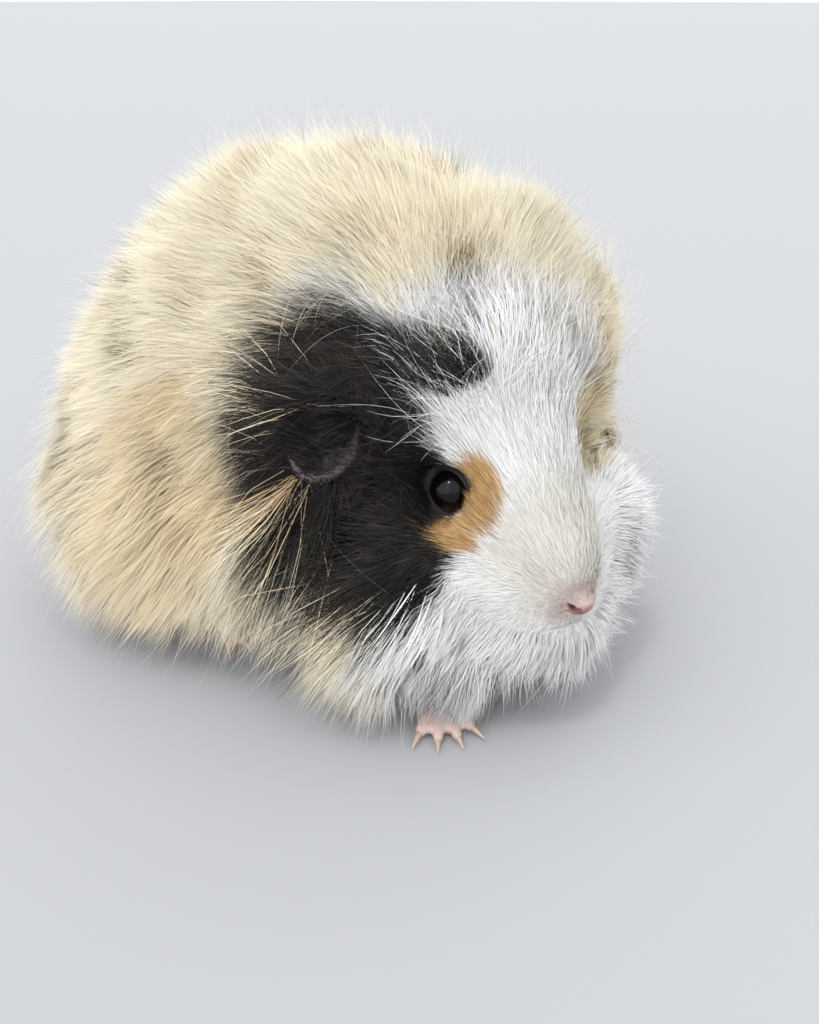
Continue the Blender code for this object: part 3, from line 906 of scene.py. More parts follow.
# %% Tips of drapes and fringes
EAR_DRAPE = 1300
FOOT_FRINGE = 3200
drapes = []
for ear in EARS:
    low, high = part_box(ear)
    center = 0.5 * (low + high)
    outward = (center - HEAD_AT + 0.012 * HEAD_X).normalized()
    outward.z = 0.1
    outward.normalize()
    across = outward.cross(Vector((0, 0, 1))).normalized()
    if across.dot(HEAD_X) < 0:
        across = -across
    for _ in range(EAR_DRAPE):
        forward = RNG.uniform(-8.0, 9.0) * MM
        height = RNG.uniform(-3.0, 11.0) * MM + 0.35 * forward
        drapes.append(center + across * forward + Vector((0, 0, height)) + outward * RNG.uniform(1.0, 5.0) * MM)
for foot in FEET[:2]:
    top, facing = points_of(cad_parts[foot].data), normals_of(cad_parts[foot].data)
    low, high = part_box(foot)
    reachable = (top[:, 2] > 2.0 * MM) & (facing[:, 2] > -0.4)
    toward_toes = np.where(reachable, np.clip((top[:, 0] - low.x) / (high.x - low.x), 0.02, 1.0) ** 1.5, 0.0)
    picked = RNG.choice(len(top), FOOT_FRINGE, p=toward_toes / toward_toes.sum())
    away = RNG.uniform(0.8, 4.6, FOOT_FRINGE) * MM
    ends = top[picked] + facing[picked] * away[:, None] + RNG.normal(0.0, 0.8 * MM, (FOOT_FRINGE, 3))
    ends[:, 2] = np.maximum(ends[:, 2] - RNG.uniform(0.0, 3.0, FOOT_FRINGE) * MM, 1.5 * MM)
    drapes.extend(Vector(end) for end in ends)
drapes = np.array(drapes)
drape_kind = np.where(np.arange(len(drapes)) < 2 * EAR_DRAPE, DRAPE, FRINGE)
tips = np.concatenate((tips, wisp_tips, drapes))
kind = np.concatenate((kind, np.full(WISPS, WISP), drape_kind))
print("drapes and fringes:", len(drapes))

# %% The root of each tip
found_face = np.zeros(len(tips), np.int64)
found_root = np.zeros((len(tips), 3))
UPSTREAM, UPHILL = 0.50, 0.30
for index, tip in enumerate(tips):
    near, _, face, distance = skin_tree.find_nearest(tip)
    guess = Vector(tip) - Vector(flow[skin_triangles[face][0]]) * (UPSTREAM * distance)
    guess.z += UPHILL * distance * min(1.0, max(0.0, (0.080 - tip[2]) / 0.055))
    if kind[index] >= DRAPE:
        # Draped fur comes from higher up, clear of what it hides.
        guess += Vector((0.0, 0.0, 0.014)) - Vector(flow[skin_triangles[face][0]]) * 0.008
    near, _, face, distance = skin_tree.find_nearest(guess)
    rise = 0.016 if kind[index] == FRINGE else 0.0
    while kind[index] >= DRAPE and (face_bare[face] or near.z < tip[2] + rise) and guess.z < tip[2] + 0.045:
        guess.z += 0.004
        near, _, face, distance = skin_tree.find_nearest(guess)
    found_root[index] = near
    found_face[index] = face
reach_to_tip = np.linalg.norm(tips - found_root, axis=1)
good = (reach_to_tip > 4.0 * MM) & (reach_to_tip < 62.0 * MM)
good &= ~face_bare[found_face] & (weight[found_face] > 0.0)
found_root, found_face, tips, reach_to_tip = found_root[good], found_face[good], tips[good], reach_to_tip[good]
kind = np.concatenate((np.full(FROM_SKIN, NORMAL), kind[good]))
root = np.concatenate((root, found_root))
root_lie = np.concatenate((root_lie, unit(tips - found_root)))
root_length = np.concatenate((root_length, reach_to_tip))
chosen = np.concatenate((chosen, found_face))
share = np.concatenate((share, np.full((len(found_face), 3), 1.0 / 3.0)))
STRANDS = len(root)


def at_roots(field):
    return between(field, skin_triangles[chosen], share)


root_normal = unit(at_roots(skin_normals))
root_flow = unit(at_roots(flow))
root_head = head_mm(root)
root_nose = np.linalg.norm(root_head - NOSE_MM, axis=1)
print("tufts:", STRANDS, "on", round(area.sum() * 1e6), "square mm of skin;", len(found_root), "found from tips")

# %% [markdown]
# ## Grow the tufts
# A tuft starts more upright than it ends, so it is a bent line from the root to its tip. Neighbouring tufts then
# lean towards a leader, first in small groups and then in large ones, and that makes the soft locks
# on the rump and along the skirts. A few tufts don't join in, and keep the outline of the coat loose.

# %% Lines of the tufts
LEVELS = np.linspace(0.0, 1.0, 4)


def random_unit(count):
    return unit(RNG.normal(size=(count, 3)))


def drift(points, size):
    """A smooth random vector for each point, from a few waves about as long as the given size."""
    total = np.zeros_like(points)
    for _ in range(10):
        wave = random_unit(1)[0] * (2.0 * math.pi / (size * RNG.uniform(1.4, 4.0)))
        total += np.sin(points @ wave + RNG.uniform(0, 2 * math.pi))[:, None] * random_unit(1)
    return total / math.sqrt(5.0)


fringe = kind == FRINGE
long_fur = smoothstep(root_length / MM, 4.0, 18.0) * np.where(fringe, 0.35, 1.0)
loose = (RNG.random(STRANDS) < 0.08) | (kind == WISP)
jitter = (0.11 + 0.14 * long_fur + 0.20 * loose - 0.07 * fringe)[:, None]
swirl = drift(root, 9.0 * MM)
direction = unit(root_lie + jitter * random_unit(STRANDS) + swirl * (0.34 * long_fur)[:, None])
short = RNG.random(STRANDS) < 0.22
reach_share = RNG.uniform(0.88, 1.05, STRANDS) * np.where(short, RNG.uniform(0.55, 0.9, STRANDS), 1.0)
strand_length = root_length * np.where(loose, RNG.uniform(0.95, 1.14, STRANDS), reach_share)
strand_length = np.where(kind == NORMAL, strand_length, root_length)
bend = root_flow * 0.28 + DOWN * (0.14 * long_fur)[:, None]
bend = bend - root_normal * 0.22
bend = bend * RNG.uniform(0.5, 1.4, (STRANDS, 1))
t = LEVELS[None, :, None]
line = root[:, None, :] + strand_length[:, None, None] * (direction[:, None, :] * t - bend[:, None, :] * (t - t * t))


print("lengths in mm:", np.percentile(strand_length / MM, (1, 25, 50, 75, 99)).round(1))

# %% Locks
def gather(line, size, pull, power):
    """Draws each tuft towards the line of the leader of its group."""
    leaders = RNG.choice(len(line), len(line) // size, replace=False)
    tree = KDTree(len(leaders))
    for index, leader in enumerate(leaders):
        tree.insert(root[leader], index)
    tree.balance()
    mine = np.fromiter((leaders[tree.find(point)[1]] for point in root), np.int64, len(root))
    ratio = np.clip(strand_length / np.maximum(strand_length[mine], 1e-6), 0.3, 1.15)
    # The leader's line is followed as far as the tuft itself is long.
    own = line - line[:, :1]
    other = (line[mine] - line[mine][:, :1]) * ratio[:, None, None]
    toward = other + (root[mine] - root)[:, None, :] - own
    share_taken = (pull * (1.0 - 0.85 * loose) * ~fringe)[:, None, None]
    return line + toward * share_taken * LEVELS[None, :, None] ** power, mine


low_side = smoothstep(0.075 - root[:, 2], 0.0, 0.045)
rump_side = smoothstep(-root[:, 0], 0.0, 0.045)
lock = 0.30 + 0.45 * np.maximum(low_side, rump_side)
line, big_group = gather(line, 190, lock * 0.55 * long_fur, 1.5)
line, small_group = gather(line, 16, (0.30 + 0.45 * lock) * (0.30 + 0.70 * long_fur), 1.3)

wave_phase = RNG.uniform(0, 2 * math.pi, STRANDS)[small_group]
sideways = unit(np.cross(root_flow, root_normal))
wave = np.sin(wave_phase[:, None] + LEVELS[None, :] * 4.2) - np.sin(wave_phase)[:, None]
amplitude = 0.022 * strand_length * RNG.uniform(0.3, 1.4, STRANDS) * np.where(kind == WISP, 3.5, 1.0)
line = line + sideways[:, None, :] * (wave * amplitude[:, None])[:, :, None]
print("locks:", len(set(big_group)), "large,", len(set(small_group)), "small")

# %% Tips kept within the coat
# Tips that stray too far past the surface of the tips are pulled back along their own line.
overshoot = np.empty(STRANDS)
nearest_face = np.empty(STRANDS, np.int64)
for index, tip in enumerate(line[:, -1]):
    near, normal, nearest_face[index], distance = envelope.find_nearest(tip)
    overshoot[index] = distance if (Vector(tip) - near).dot(normal) > 0.0 else -distance
# For its shading a tuft takes most of its normal from the smooth surface of the tips.
coat_normal = unit(0.3 * root_normal + 0.7 * envelope_normals[envelope_triangles[nearest_face, 0]])
allowed = np.where(loose, RNG.uniform(1.0, 5.0, STRANDS), RNG.uniform(-0.6, 2.4, STRANDS)) * MM
allowed = np.where((kind == WISP) | (kind == DRAPE), 8.0 * MM, allowed)
allowed = np.where(fringe, 30.0 * MM, allowed)
too_far = np.clip(overshoot - allowed, 0.0, None)
shrink = 1.0 - np.clip(too_far / np.maximum(strand_length, 1e-6), 0.0, 0.7)
line = line[:, :1] + (line - line[:, :1]) * shrink[:, None, None]
line[:, :, 2] = np.maximum(line[:, :, 2], 0.35 * MM + 0.5 * MM * RNG.random((STRANDS, 1)))
# A tuft takes its colour from the place that its tip reaches. A few take it from nearer the root, so that
# dark hairs brush over pale ones along the edge of a marking.
brushing = RNG.random(STRANDS) < 0.10
seat_level = 3.0 * np.where(brushing, RNG.uniform(0.2, 0.6, STRANDS), RNG.uniform(0.62, 1.0, STRANDS))
below = np.minimum(seat_level.astype(int), 2)
part = (seat_level - below)[:, None]
every = np.arange(STRANDS)
root_seat = head_mm(line[every, below] * (1.0 - part) + line[every, below + 1] * part)
print("tips past the surface by", np.percentile((overshoot - too_far) / MM, (5, 50, 95, 99.9)).round(1), "mm")

# %% [markdown]
# ## From lines to ribbons
# Each line becomes a flat ribbon that tapers to a point: two quads and a triangle. Its flat side is turned to the
# outside, and its normals are bent towards the smooth normal of the body, so that the coat takes
# the light like one soft mass and not like a heap of foil. Short tufts of the face get one quad less.

# %% Tone and width of each tuft
tone = np.clip(RNG.normal(0.5, 0.22, STRANDS) + 0.25 * (RNG.random(STRANDS)[small_group] - 0.5), 0.0, 1.0)
lock_tone = RNG.random(STRANDS)[big_group]
half_width = 0.5 * MM * np.interp(root_length / MM, (1, 4, 10, 30), (0.09, 0.12, 0.16, 0.20))
half_width = half_width * RNG.uniform(0.7, 1.2, STRANDS) * np.where(kind == WISP, 0.5, 1.0)
tone = np.where(kind == WISP, 1.0, tone)
print("widths in mm:", np.percentile(2.0 * half_width / MM, (1, 50, 99)).round(2))

# %% From a line to a ribbon
def ribbons(line, half_width, outward, seat, tone, lock, patch_uv):
    """Arrays of one batch of tapering ribbons. line is (n, k, 3), and its last point is the tip."""
    count, levels = line.shape[:2]
    tangent = unit(np.gradient(line, axis=1))
    roll = RNG.uniform(-0.7, 0.7, (count, 1, 1))
    side = unit(np.cross(tangent, outward[:, None, :]))
    side = side * np.cos(roll) + np.cross(side, tangent) * np.sin(roll)
    taper = np.interp(np.linspace(0, 1, levels), (0, 0.35, 0.75, 1), (0.80, 1.0, 0.62, 0.0))
    offset = side * (half_width[:, None] * taper[None, :])[:, :, None]
    per = 2 * levels - 1
    points = np.empty((count, per, 3))
    points[:, 0:per - 1:2] = (line - offset)[:, :-1]
    points[:, 1:per - 1:2] = (line + offset)[:, :-1]
    points[:, per - 1] = line[:, -1]
    bent = unit(0.70 * outward[:, None, :] + 0.30 * np.cross(side, tangent))
    normals = np.repeat(bent, 2, axis=1)[:, :per]
    quads = [(2 * k, 2 * k + 1, 2 * k + 3, 2 * k + 2) for k in range(levels - 2)]
    along = np.repeat(np.linspace(0, 1, levels), 2)[:per]
    across = np.concatenate((np.tile((-0.5, 0.5), levels - 1), (0.0,)))
    return {
        "per": per,
        "count": count,
        "points": points.reshape(-1, 3),
        "normals": normals.reshape(-1, 3),
        "seat": np.repeat(seat, per, axis=0),
        "tone": np.repeat(tone, per),
        "lock": np.repeat(lock, per),
        "along": np.tile(along, count),
        "uv": (patch_uv[:, None, :] + 0.003 * np.stack((across, along - 0.5), axis=1)).reshape(-1, 2),
        "corners": np.array(sum(quads, ()) + (per - 3, per - 2, per - 1)),
        "sizes": np.array([4] * len(quads) + [3]),
    }


print("each long tuft has", 2 * len(LEVELS) - 1, "points")

# %% From ribbons to a mesh
def tuft_mesh(name, batches):
    """One mesh from several batches of ribbons."""
    loops, sizes, shift = [], [], 0
    for batch in batches:
        base = shift + np.arange(batch["count"])[:, None] * batch["per"]
        loops.append((base + batch["corners"][None, :]).ravel())
        sizes.append(np.tile(batch["sizes"], batch["count"]))
        shift += batch["count"] * batch["per"]
    loops = np.concatenate(loops).astype(np.int32)
    sizes = np.concatenate(sizes).astype(np.int32)
    whole = {key: np.concatenate([batch[key] for batch in batches]) for key in
             ("points", "normals", "seat", "tone", "lock", "along", "uv")}
    mesh = bpy.data.meshes.new(name)
    mesh.vertices.add(shift)
    mesh.vertices.foreach_set("co", whole["points"].astype(np.float32).ravel())
    mesh.loops.add(len(loops))
    mesh.loops.foreach_set("vertex_index", loops)
    mesh.polygons.add(len(sizes))
    mesh.polygons.foreach_set("loop_start", (np.cumsum(sizes) - sizes).astype(np.int32))
    mesh.polygons.foreach_set("loop_total", sizes)
    mesh.update()
    mesh.polygons.foreach_set("use_smooth", np.ones(len(sizes), bool))
    point_attribute(mesh, "custom_normal", whole["normals"])
    for key in ("seat", "tone", "lock", "along"):
        point_attribute(mesh, key, whole[key])
    layer = mesh.uv_layers.new(name="OFBake")
    layer.data.foreach_set("uv", whole["uv"][loops].astype(np.float32).ravel())
    mesh.update()
    obj = bpy.data.objects.new(name, mesh)
    SCENE.collection.objects.link(obj)
    return obj, int((sizes - 2).sum())


def point_attribute(mesh, key, values):
    values = np.asarray(values, np.float32)
    kind, field = ("FLOAT_VECTOR", "vector") if values.ndim == 2 else ("FLOAT", "value")
    layer = mesh.attributes.new(key, kind, "POINT")
    layer.data.foreach_set(field, values.ravel())


def spread_out(points, middle_point):
    """An equal-area map of the places as seen from inside the piece, scaled into the unit square."""
    away = unit(points - middle_point)
    pole = unit(away.mean(axis=0))
    first = unit(np.cross(pole, (0.31, 0.17, 0.93)))
    second = np.cross(pole, first)
    scale = np.sqrt(2.0 / np.maximum(1.0 + away @ pole, 0.02))
    flat = np.stack((away @ first * scale, away @ second * scale), axis=1)
    low, high = flat.min(axis=0), flat.max(axis=0)
    return 0.01 + 0.98 * (flat - low) / (high - low)


print("maps are seen from inside each piece")

# %% Which piece each tuft is in
# Each piece has the middle that its map is seen from.
BODY_MIDDLE = np.array((-0.008, 0.003, 0.058))
HEAD_MIDDLE = np.array(on_head(2.0, 0.0, -4.0))
right_side = root[:, 1] < 0.004
on_head_part = root_head[:, 0] > -20.0
on_feet = (root[:, 2] < 0.016) & (at_roots(bare) > 0.2)
height_share = (root[:, 2] - 0.058) / 0.045
sides = np.where(right_side, "_right", "_left")
piece_of = np.select(
    [on_feet, on_head_part & (root_nose < 36.0), on_head_part, root[:, 0] < -0.040,
     (height_share > 0.45) & (root[:, 0] < 0.002), height_share > 0.45, root[:, 0] > 0.020],
    ["feet_fur", "face_fur", np.char.add("cheek_fur", sides), np.char.add("rump_coat", sides),
     "back_coat", "shoulder_coat", np.char.add("neck_coat", sides)],
    np.char.add("flank_coat", sides),
)
print("pieces:", len(set(piece_of)))

# %% The pieces of the coat
clear_of_eyes = np.ones(STRANDS, bool)
for side in EYES:
    gap = np.linalg.norm(line - np.array(EYES[side]), axis=2).min(axis=1) - EYE_RADIUS
    clear_of_eyes &= gap > np.where(loose, 2.5, 0.3) * MM
coat = []
# Only long tufts that lie on top need the extra bend.
three_parts = (kind == WISP) | ((root_length > 9.0 * MM) & (RNG.random(STRANDS) < 0.62))
for name in sorted(set(piece_of)):
    batches = []
    center = HEAD_MIDDLE if name.startswith(("face", "cheek")) else BODY_MIDDLE
    mine = np.flatnonzero((piece_of == name) & clear_of_eyes)
    uv = np.zeros((STRANDS, 2))
    uv[mine] = spread_out(root[mine], center)
    for levels, picked in (([0, 1, 2, 3], mine[three_parts[mine]]), ([0, 1.5, 3], mine[~three_parts[mine]])):
        if len(picked):
            own = line[picked]
            path = np.stack([0.5 * (own[:, math.floor(k)] + own[:, math.ceil(k)]) for k in levels], axis=1)
            batches.append(ribbons(path, half_width[picked], coat_normal[picked], root_seat[picked],
                                   tone[picked], lock_tone[picked], uv[picked]))
    piece, triangles = tuft_mesh(name, batches)
    coat.append(piece)
    print(name, len(mine), "tufts,", triangles, "triangles")

# %% [markdown]
# ## Whiskers and stray hairs
# Both are too thin for the solids, so they are made only here. A whisker is stiff and sags a little. A stray
# hair curls, because nothing holds it down. They are ribbons too, with more steps, so that they bend smoothly.

# %% Whiskers
WHISKERS_A_SIDE = 14
WHISKER_STEPS = 9
paths, whisker_roots = [], []
for sign in (-1.0, 1.0):
    for number in range(WHISKERS_A_SIDE):
        row, column = divmod(number, 4)
        start = Vector((24.0 + 1.6 * column, sign * (9.5 - 0.9 * column), -12.0 - 1.7 * row))
        near = skin_tree.find_nearest(on_head(*start))[0]
        heading = Vector((0.55 + 0.10 * column, sign * 0.85, 0.20 - 0.22 * row)) + 0.10 * Vector(RNG.normal(size=3))
        heading = (HEAD_TURN @ heading).normalized()
        size = RNG.uniform(15.0, 27.0) * MM * (1.0 - 0.08 * column)
        sag = Vector((-0.35, 0.0, -0.30)) * size
        steps = np.linspace(0.0, 1.0, WHISKER_STEPS)
        paths.append([list(near + heading * size * t + sag * t * t) for t in steps])
        whisker_roots.append(list(near))
paths = np.array(paths)
count = len(paths)
whiskers, _ = tuft_mesh("whiskers", [ribbons(
    paths, np.full(count, 0.034 * MM), np.tile((0.0, 0.0, 1.0), (count, 1)), np.tile(NOSE_MM, (count, 1)),
    np.full(count, 0.7), np.full(count, 0.5), spread_out(np.array(whisker_roots), HEAD_MIDDLE),
)])
coat.append(whiskers)
print("whiskers:", count)

# %% Stray hairs
# Single long hairs lie loose over the coat or curl up out of it, each the colour of the place it grows from.
STRAYS = 5400
STRAY_STEPS = 8
likely = (root_length > 8.0 * MM) & (kind == NORMAL) & (line[:, -1, 2] > 0.012)
likely = likely * (0.35 + 0.65 * (root_normal[:, 2] > 0.0))
likely = likely * (1.0 + 1.5 * (root_head[:, 0] > -35.0) + (root[:, 2] > 0.09))
own = RNG.choice(STRANDS, STRAYS, replace=False, p=likely / likely.sum())
outward = root_normal[own]
heading = root_flow[own] * 0.7 + 0.75 * random_unit(STRAYS)
heading = unit(heading - outward * np.sum(heading * outward, axis=1)[:, None])
heading = unit(heading + outward * RNG.uniform(0.05, 0.75, (STRAYS, 1)))
stray_length = RNG.gamma(5.0, 2.6, STRAYS).clip(5.0, 26.0) * MM
curl = unit(np.cross(heading, random_unit(STRAYS))) * RNG.uniform(0.15, 0.8, (STRAYS, 1)) + DOWN * 0.12
twist = unit(np.cross(heading, curl)) * RNG.uniform(-0.5, 0.5, (STRAYS, 1))
t = np.linspace(0.0, 1.0, STRAY_STEPS)[None, :, None]
course = heading[:, None, :] * t + curl[:, None, :] * t ** 2 + twist[:, None, :] * t ** 3
paths = line[own, 2][:, None, :] + stray_length[:, None, None] * course
for index in range(STRAYS):
    tip = Vector(paths[index, -1])
    near, normal, _, distance = envelope.find_nearest(tip)
    if (tip - near).dot(normal) > 0.0 and distance > 8.0 * MM:
        paths[index] = paths[index, :1] + (paths[index] - paths[index, :1]) * (8.0 * MM / distance)
paths[:, :, 2] = np.maximum(paths[:, :, 2], 0.6 * MM)
clear = np.ones(STRAYS, bool)
for side in EYES:
    clear &= np.linalg.norm(paths - np.array(EYES[side]), axis=2).min(axis=1) > EYE_RADIUS + 2.5 * MM
paths, own, outward = paths[clear], own[clear], outward[clear]
STRAYS = len(paths)
strays, triangles = tuft_mesh("stray_hairs", [ribbons(
    paths, RNG.uniform(0.022, 0.040, STRAYS) * MM, outward, root_seat[own], np.full(STRAYS, 1.0),
    np.full(STRAYS, 0.5), spread_out(root[own], BODY_MIDDLE),
)])
coat.append(strays)
print("stray hairs:", STRAYS, "with", triangles, "triangles; the coat has",
      sum(len(piece.data.loops) - 2 * len(piece.data.polygons) for piece in coat), "triangles in all")

# %% [markdown]
# ## Colours of the coat
# The markings are regions with soft, ragged edges, and each region is an ellipsoid given in head
# millimetres. Skin and fur use the same sums, and both read them at the place that the tip of the
# fur reaches, which is why the pattern stays whole however the tufts lie. Within a region a tuft is deeper
# in colour at its root and paler at its tip, and no two tufts have quite the same tone.

# %% The markings
CREAM_TIP = rgb(243, 234, 211)
CREAM_MID = rgb(238, 218, 175)
CREAM_ROOT = rgb(233, 201, 152)
WHITE_TIP = rgb(254, 254, 252)
WHITE_ROOT = rgb(243, 241, 237)
MUZZLE = rgb(229, 221, 203)
NEAR_NOSE = rgb(206, 184, 176)
BLACK_TIP = rgb(70, 62, 56)
BLACK_ROOT = rgb(11, 9, 9)
WARM_TIP = rgb(236, 204, 150)
TAN_TIP = rgb(208, 168, 114)
TAN_ROOT = rgb(166, 122, 76)
print("colours of the coat: cream, warm tan, white, muzzle, near the nose, black, orange tan")

# %% Where each colour lies
# Centre and half-axes of each region, in head millimetres.
BLACK_REGIONS = (
    ((-12.5, -40.5, 8.0), (30.0, 20.5, 41.0)),
    ((6.5, -36.0, -13.0), (13.5, 14.0, 22.0)),
    ((-4.5, -24.5, 30.5), (16.0, 16.0, 6.5)),
    ((-0.5, -25.0, -4.0), (15.5, 8.0, 18.5)),
    ((-9.0, -48.0, -20.0), (17.0, 14.0, 16.0)),
)
WHITE_REGIONS = (
    ((11.5, -8.0, 28.0), (38.0, 40.5, 23.5)),
    ((19.5, -1.5, -16.5), (38.5, 48.0, 48.0)),
    ((-14.5, -41.0, 14.0), (24.0, 18.0, 59.0)),
)
WARM_REGIONS = (((-46.0, -66.0, -22.0), (22.0, 26.0, 34.0)),)
FAR_CREAM_REGIONS = (((-4.0, 27.0, 10.0), (15.0, 13.0, 15.0)),)
ORANGE_REGIONS = (
    ((7.4, -15.0, 6.5), (8.4, 4.8, 7.5)),
    ((9.8, -14.5, 0.5), (4.8, 7.5, 5.0)),
    ((8.6, -18.8, -4.9), (5.8, 6.0, 3.0)),
)
# The regions of each colour, how soft their edge is, and the attribute and axis that carry them.
AREAS = {
    "black": (BLACK_REGIONS, 0.10, "marks_one", 0),
    "white": (WHITE_REGIONS, 0.10, "marks_one", 1),
    "warm": (WARM_REGIONS, 0.10, "marks_one", 2),
    "far cream": (FAR_CREAM_REGIONS, 0.10, "marks_two", 0),
    "orange": (ORANGE_REGIONS, 0.20, "marks_two", 1),
    "muzzle": ((((20.0, 0.0, -4.0), (17.0, 17.0, 15.0)),), 0.40, "marks_two", 2),
    "near nose": (((tuple(NOSE_MM), (9.0, 9.0, 7.0)),), 0.50, "marks_nose", 0),
}


def measure_marks(mesh):
    """Stores at each point how far its seat lies from the regions of each colour: 1 is on their edge."""
    seats = np.empty(len(mesh.vertices) * 3, np.float32)
    mesh.attributes["seat"].data.foreach_get("vector", seats)
    seats = seats.reshape(-1, 3)
    packed = {"marks_one": [], "marks_two": [], "marks_nose": []}
    for regions, _, carrier, _ in AREAS.values():
        away = [np.linalg.norm((seats - np.float32(center)) / np.float32(axes), axis=1) for center, axes in regions]
        packed[carrier].append(np.min(away, axis=0))
    for carrier, columns in packed.items():
        point_attribute(mesh, carrier, np.stack(columns, axis=1) if len(columns) > 1 else columns[0])


print("colours with regions:", ", ".join(AREAS))

# %% The sums of the markings
class Coat:
    """The shared sums of the markings, for one shader."""

    def __init__(self, shader):
        self.shader = shader
        self.seat = shader.attribute("seat", "Vector")
        self.tone = shader.attribute("tone")
        self.along = shader.attribute("along")
        self.lock = shader.attribute("lock")
        ragged = (shader.noise(self.seat, 0.16, 3.0) - 0.5) * 0.55 + (self.tone - 0.5) * 0.34
        self.ragged = ragged * 0.5
        self.carriers = {name: shader.attribute(name, "Vector") for name in ("marks_one", "marks_two")}
        self.carriers["marks_nose"] = shader.attribute("marks_nose")

    def area(self, name):
        """1 in the regions of a colour, 0 outside them, with a ragged edge."""
        _, soft, carrier, axis = AREAS[name]
        away = self.carriers[carrier]
        if carrier != "marks_nose":
            away = self.shader.make("ShaderNodeSeparateXYZ", None, {0: away}, output=axis)
        return 1.0 - self.shader.ramp(away + self.ragged, 1.0 - soft, 1.0 + soft)

    def color(self):
        mix = self.shader.mix
        along = self.along
        cream = mix(mix(CREAM_ROOT, CREAM_MID, self.shader.ramp(along, 0.0, 0.5)), CREAM_TIP,
                    self.shader.ramp(along + (self.tone - 0.5) * 0.5, 0.35, 1.05))
        # Behind the dark patch and here and there low on the flank the cream is a warmer tan.
        patches = self.shader.ramp(self.shader.noise(self.seat, 0.05, 2.0), 0.50, 0.72)
        warm = self.area("warm") * 0.9 + patches * 0.5
        warm_fur = mix(TAN_ROOT, WARM_TIP, self.shader.ramp(along, 0.0, 0.9))
        cream = mix(cream, warm_fur, warm * (0.75 - 0.45 * self.tone))
        white = mix(WHITE_ROOT, WHITE_TIP, self.shader.ramp(along, 0.0, 0.7))
        # The short fur of the muzzle is a little creamy, and pinkish grey close to the nose.
        white = mix(white, MUZZLE, self.area("muzzle") * 0.6)
        white = mix(white, NEAR_NOSE, self.area("near nose") * (0.25 + 0.6 * self.tone))
        black = mix(BLACK_ROOT, BLACK_TIP, self.shader.ramp(along + (self.tone - 0.5) * 1.2, 0.55, 1.45))
        tan = mix(TAN_ROOT, TAN_TIP, self.shader.ramp(along + (self.tone - 0.5) * 0.9, 0.1, 0.9))

        color = mix(cream, white, self.area("white") * (1.0 - self.area("far cream")))
        color = mix(color, black, self.area("black"))
        return mix(color, tan, self.area("orange"))


print("the markings are shared by the fur and the skin")

# %% The fur's material
shader = Shader("fur")
marks = Coat(shader)
shade = 0.91 + marks.tone * 0.14 + (marks.lock - 0.5) * 0.08
shade = shader.make("ShaderNodeCombineXYZ", None, {0: shade, 1: shade, 2: shade})
color = shader.vector("MULTIPLY", marks.color(), shade)
fur_material = shader.finish(Base_Color=color, Roughness=0.62, Specular_IOR_Level=0.2, Sheen_Weight=0.07)
for piece in coat:
    measure_marks(piece.data)
    piece.data.materials.append(fur_material)
    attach(piece, "root")
print("fur on", len(coat), "pieces")

# %% [markdown]
# ## Where bare skin shows
# A guinea pig shows its skin only in a few places: the pad of the nose with its dark nostrils, the lids, the
# grey skin in the corner of the eye, the rolled rim of the ear, and the toes. Each place is a soft mask, a
# number from 0 to 1 at every point of the skin, which the material then reads as an attribute. The dark of
# the nostrils and the grey along the lip groove and the mouth are painted shade.

# %% Masks of the nose and the mouth
pad = np.linalg.norm((skin_head - NOSE_MM + (0.0, 0.0, 0.5)) / (6.0, 4.4, 1.6), axis=1)
nose_pink = 1.0 - 0.55 * smoothstep(pad, 0.8, 1.5)
nose_pink *= 1.0 - smoothstep(nose_distance, 5.0, 12.0)
# Painted shade: dark inside the nostrils, and grey in the groove of the lip and along the mouth, where these creases
# lie in shade.
crease = np.zeros(len(seat))
nx, ny, nz = NOSE_MM
for side in (-1.0, 1.0):
    away = (skin_head - np.array((nx + 0.6, side * 2.6, nz + 0.1))) / np.array((3.0, 1.9, 0.9))
    crease = np.maximum(crease, 1.0 - smoothstep(np.linalg.norm(away, axis=1), 0.35, 1.0))
groove_line = 1.0 - smoothstep(np.abs(skin_head[:, 1]), 0.2, 0.9)
groove_line *= smoothstep(nz - 1.6 - skin_head[:, 2], 0.0, 0.8)
groove_line *= smoothstep(skin_head[:, 2] - (nz - 7.5), 0.0, 1.0)
across = np.abs(skin_head[:, 1])
mouth = 1.0 - smoothstep(np.abs(skin_head[:, 2] - mouth_height(skin_head)), 0.2, 1.1)
mouth *= 1.0 - smoothstep(across, 5.0, 8.0)
slit = (1.0 - smoothstep(np.abs(skin_head[:, 2] - nz + 0.7), 0.1, 0.7)) * (1.0 - smoothstep(across, 1.8, 3.4))
crease = np.maximum(crease, 0.7 * slit)
front = smoothstep(skin_head[:, 0], nx - 9.0, nx - 4.0)
crease = np.maximum(crease, 0.8 * np.maximum(groove_line, mouth) * front)
print("points on the nose pad:", int((nose_pink > 0.5).sum()), "in creases:", int((crease > 0.5).sum()))

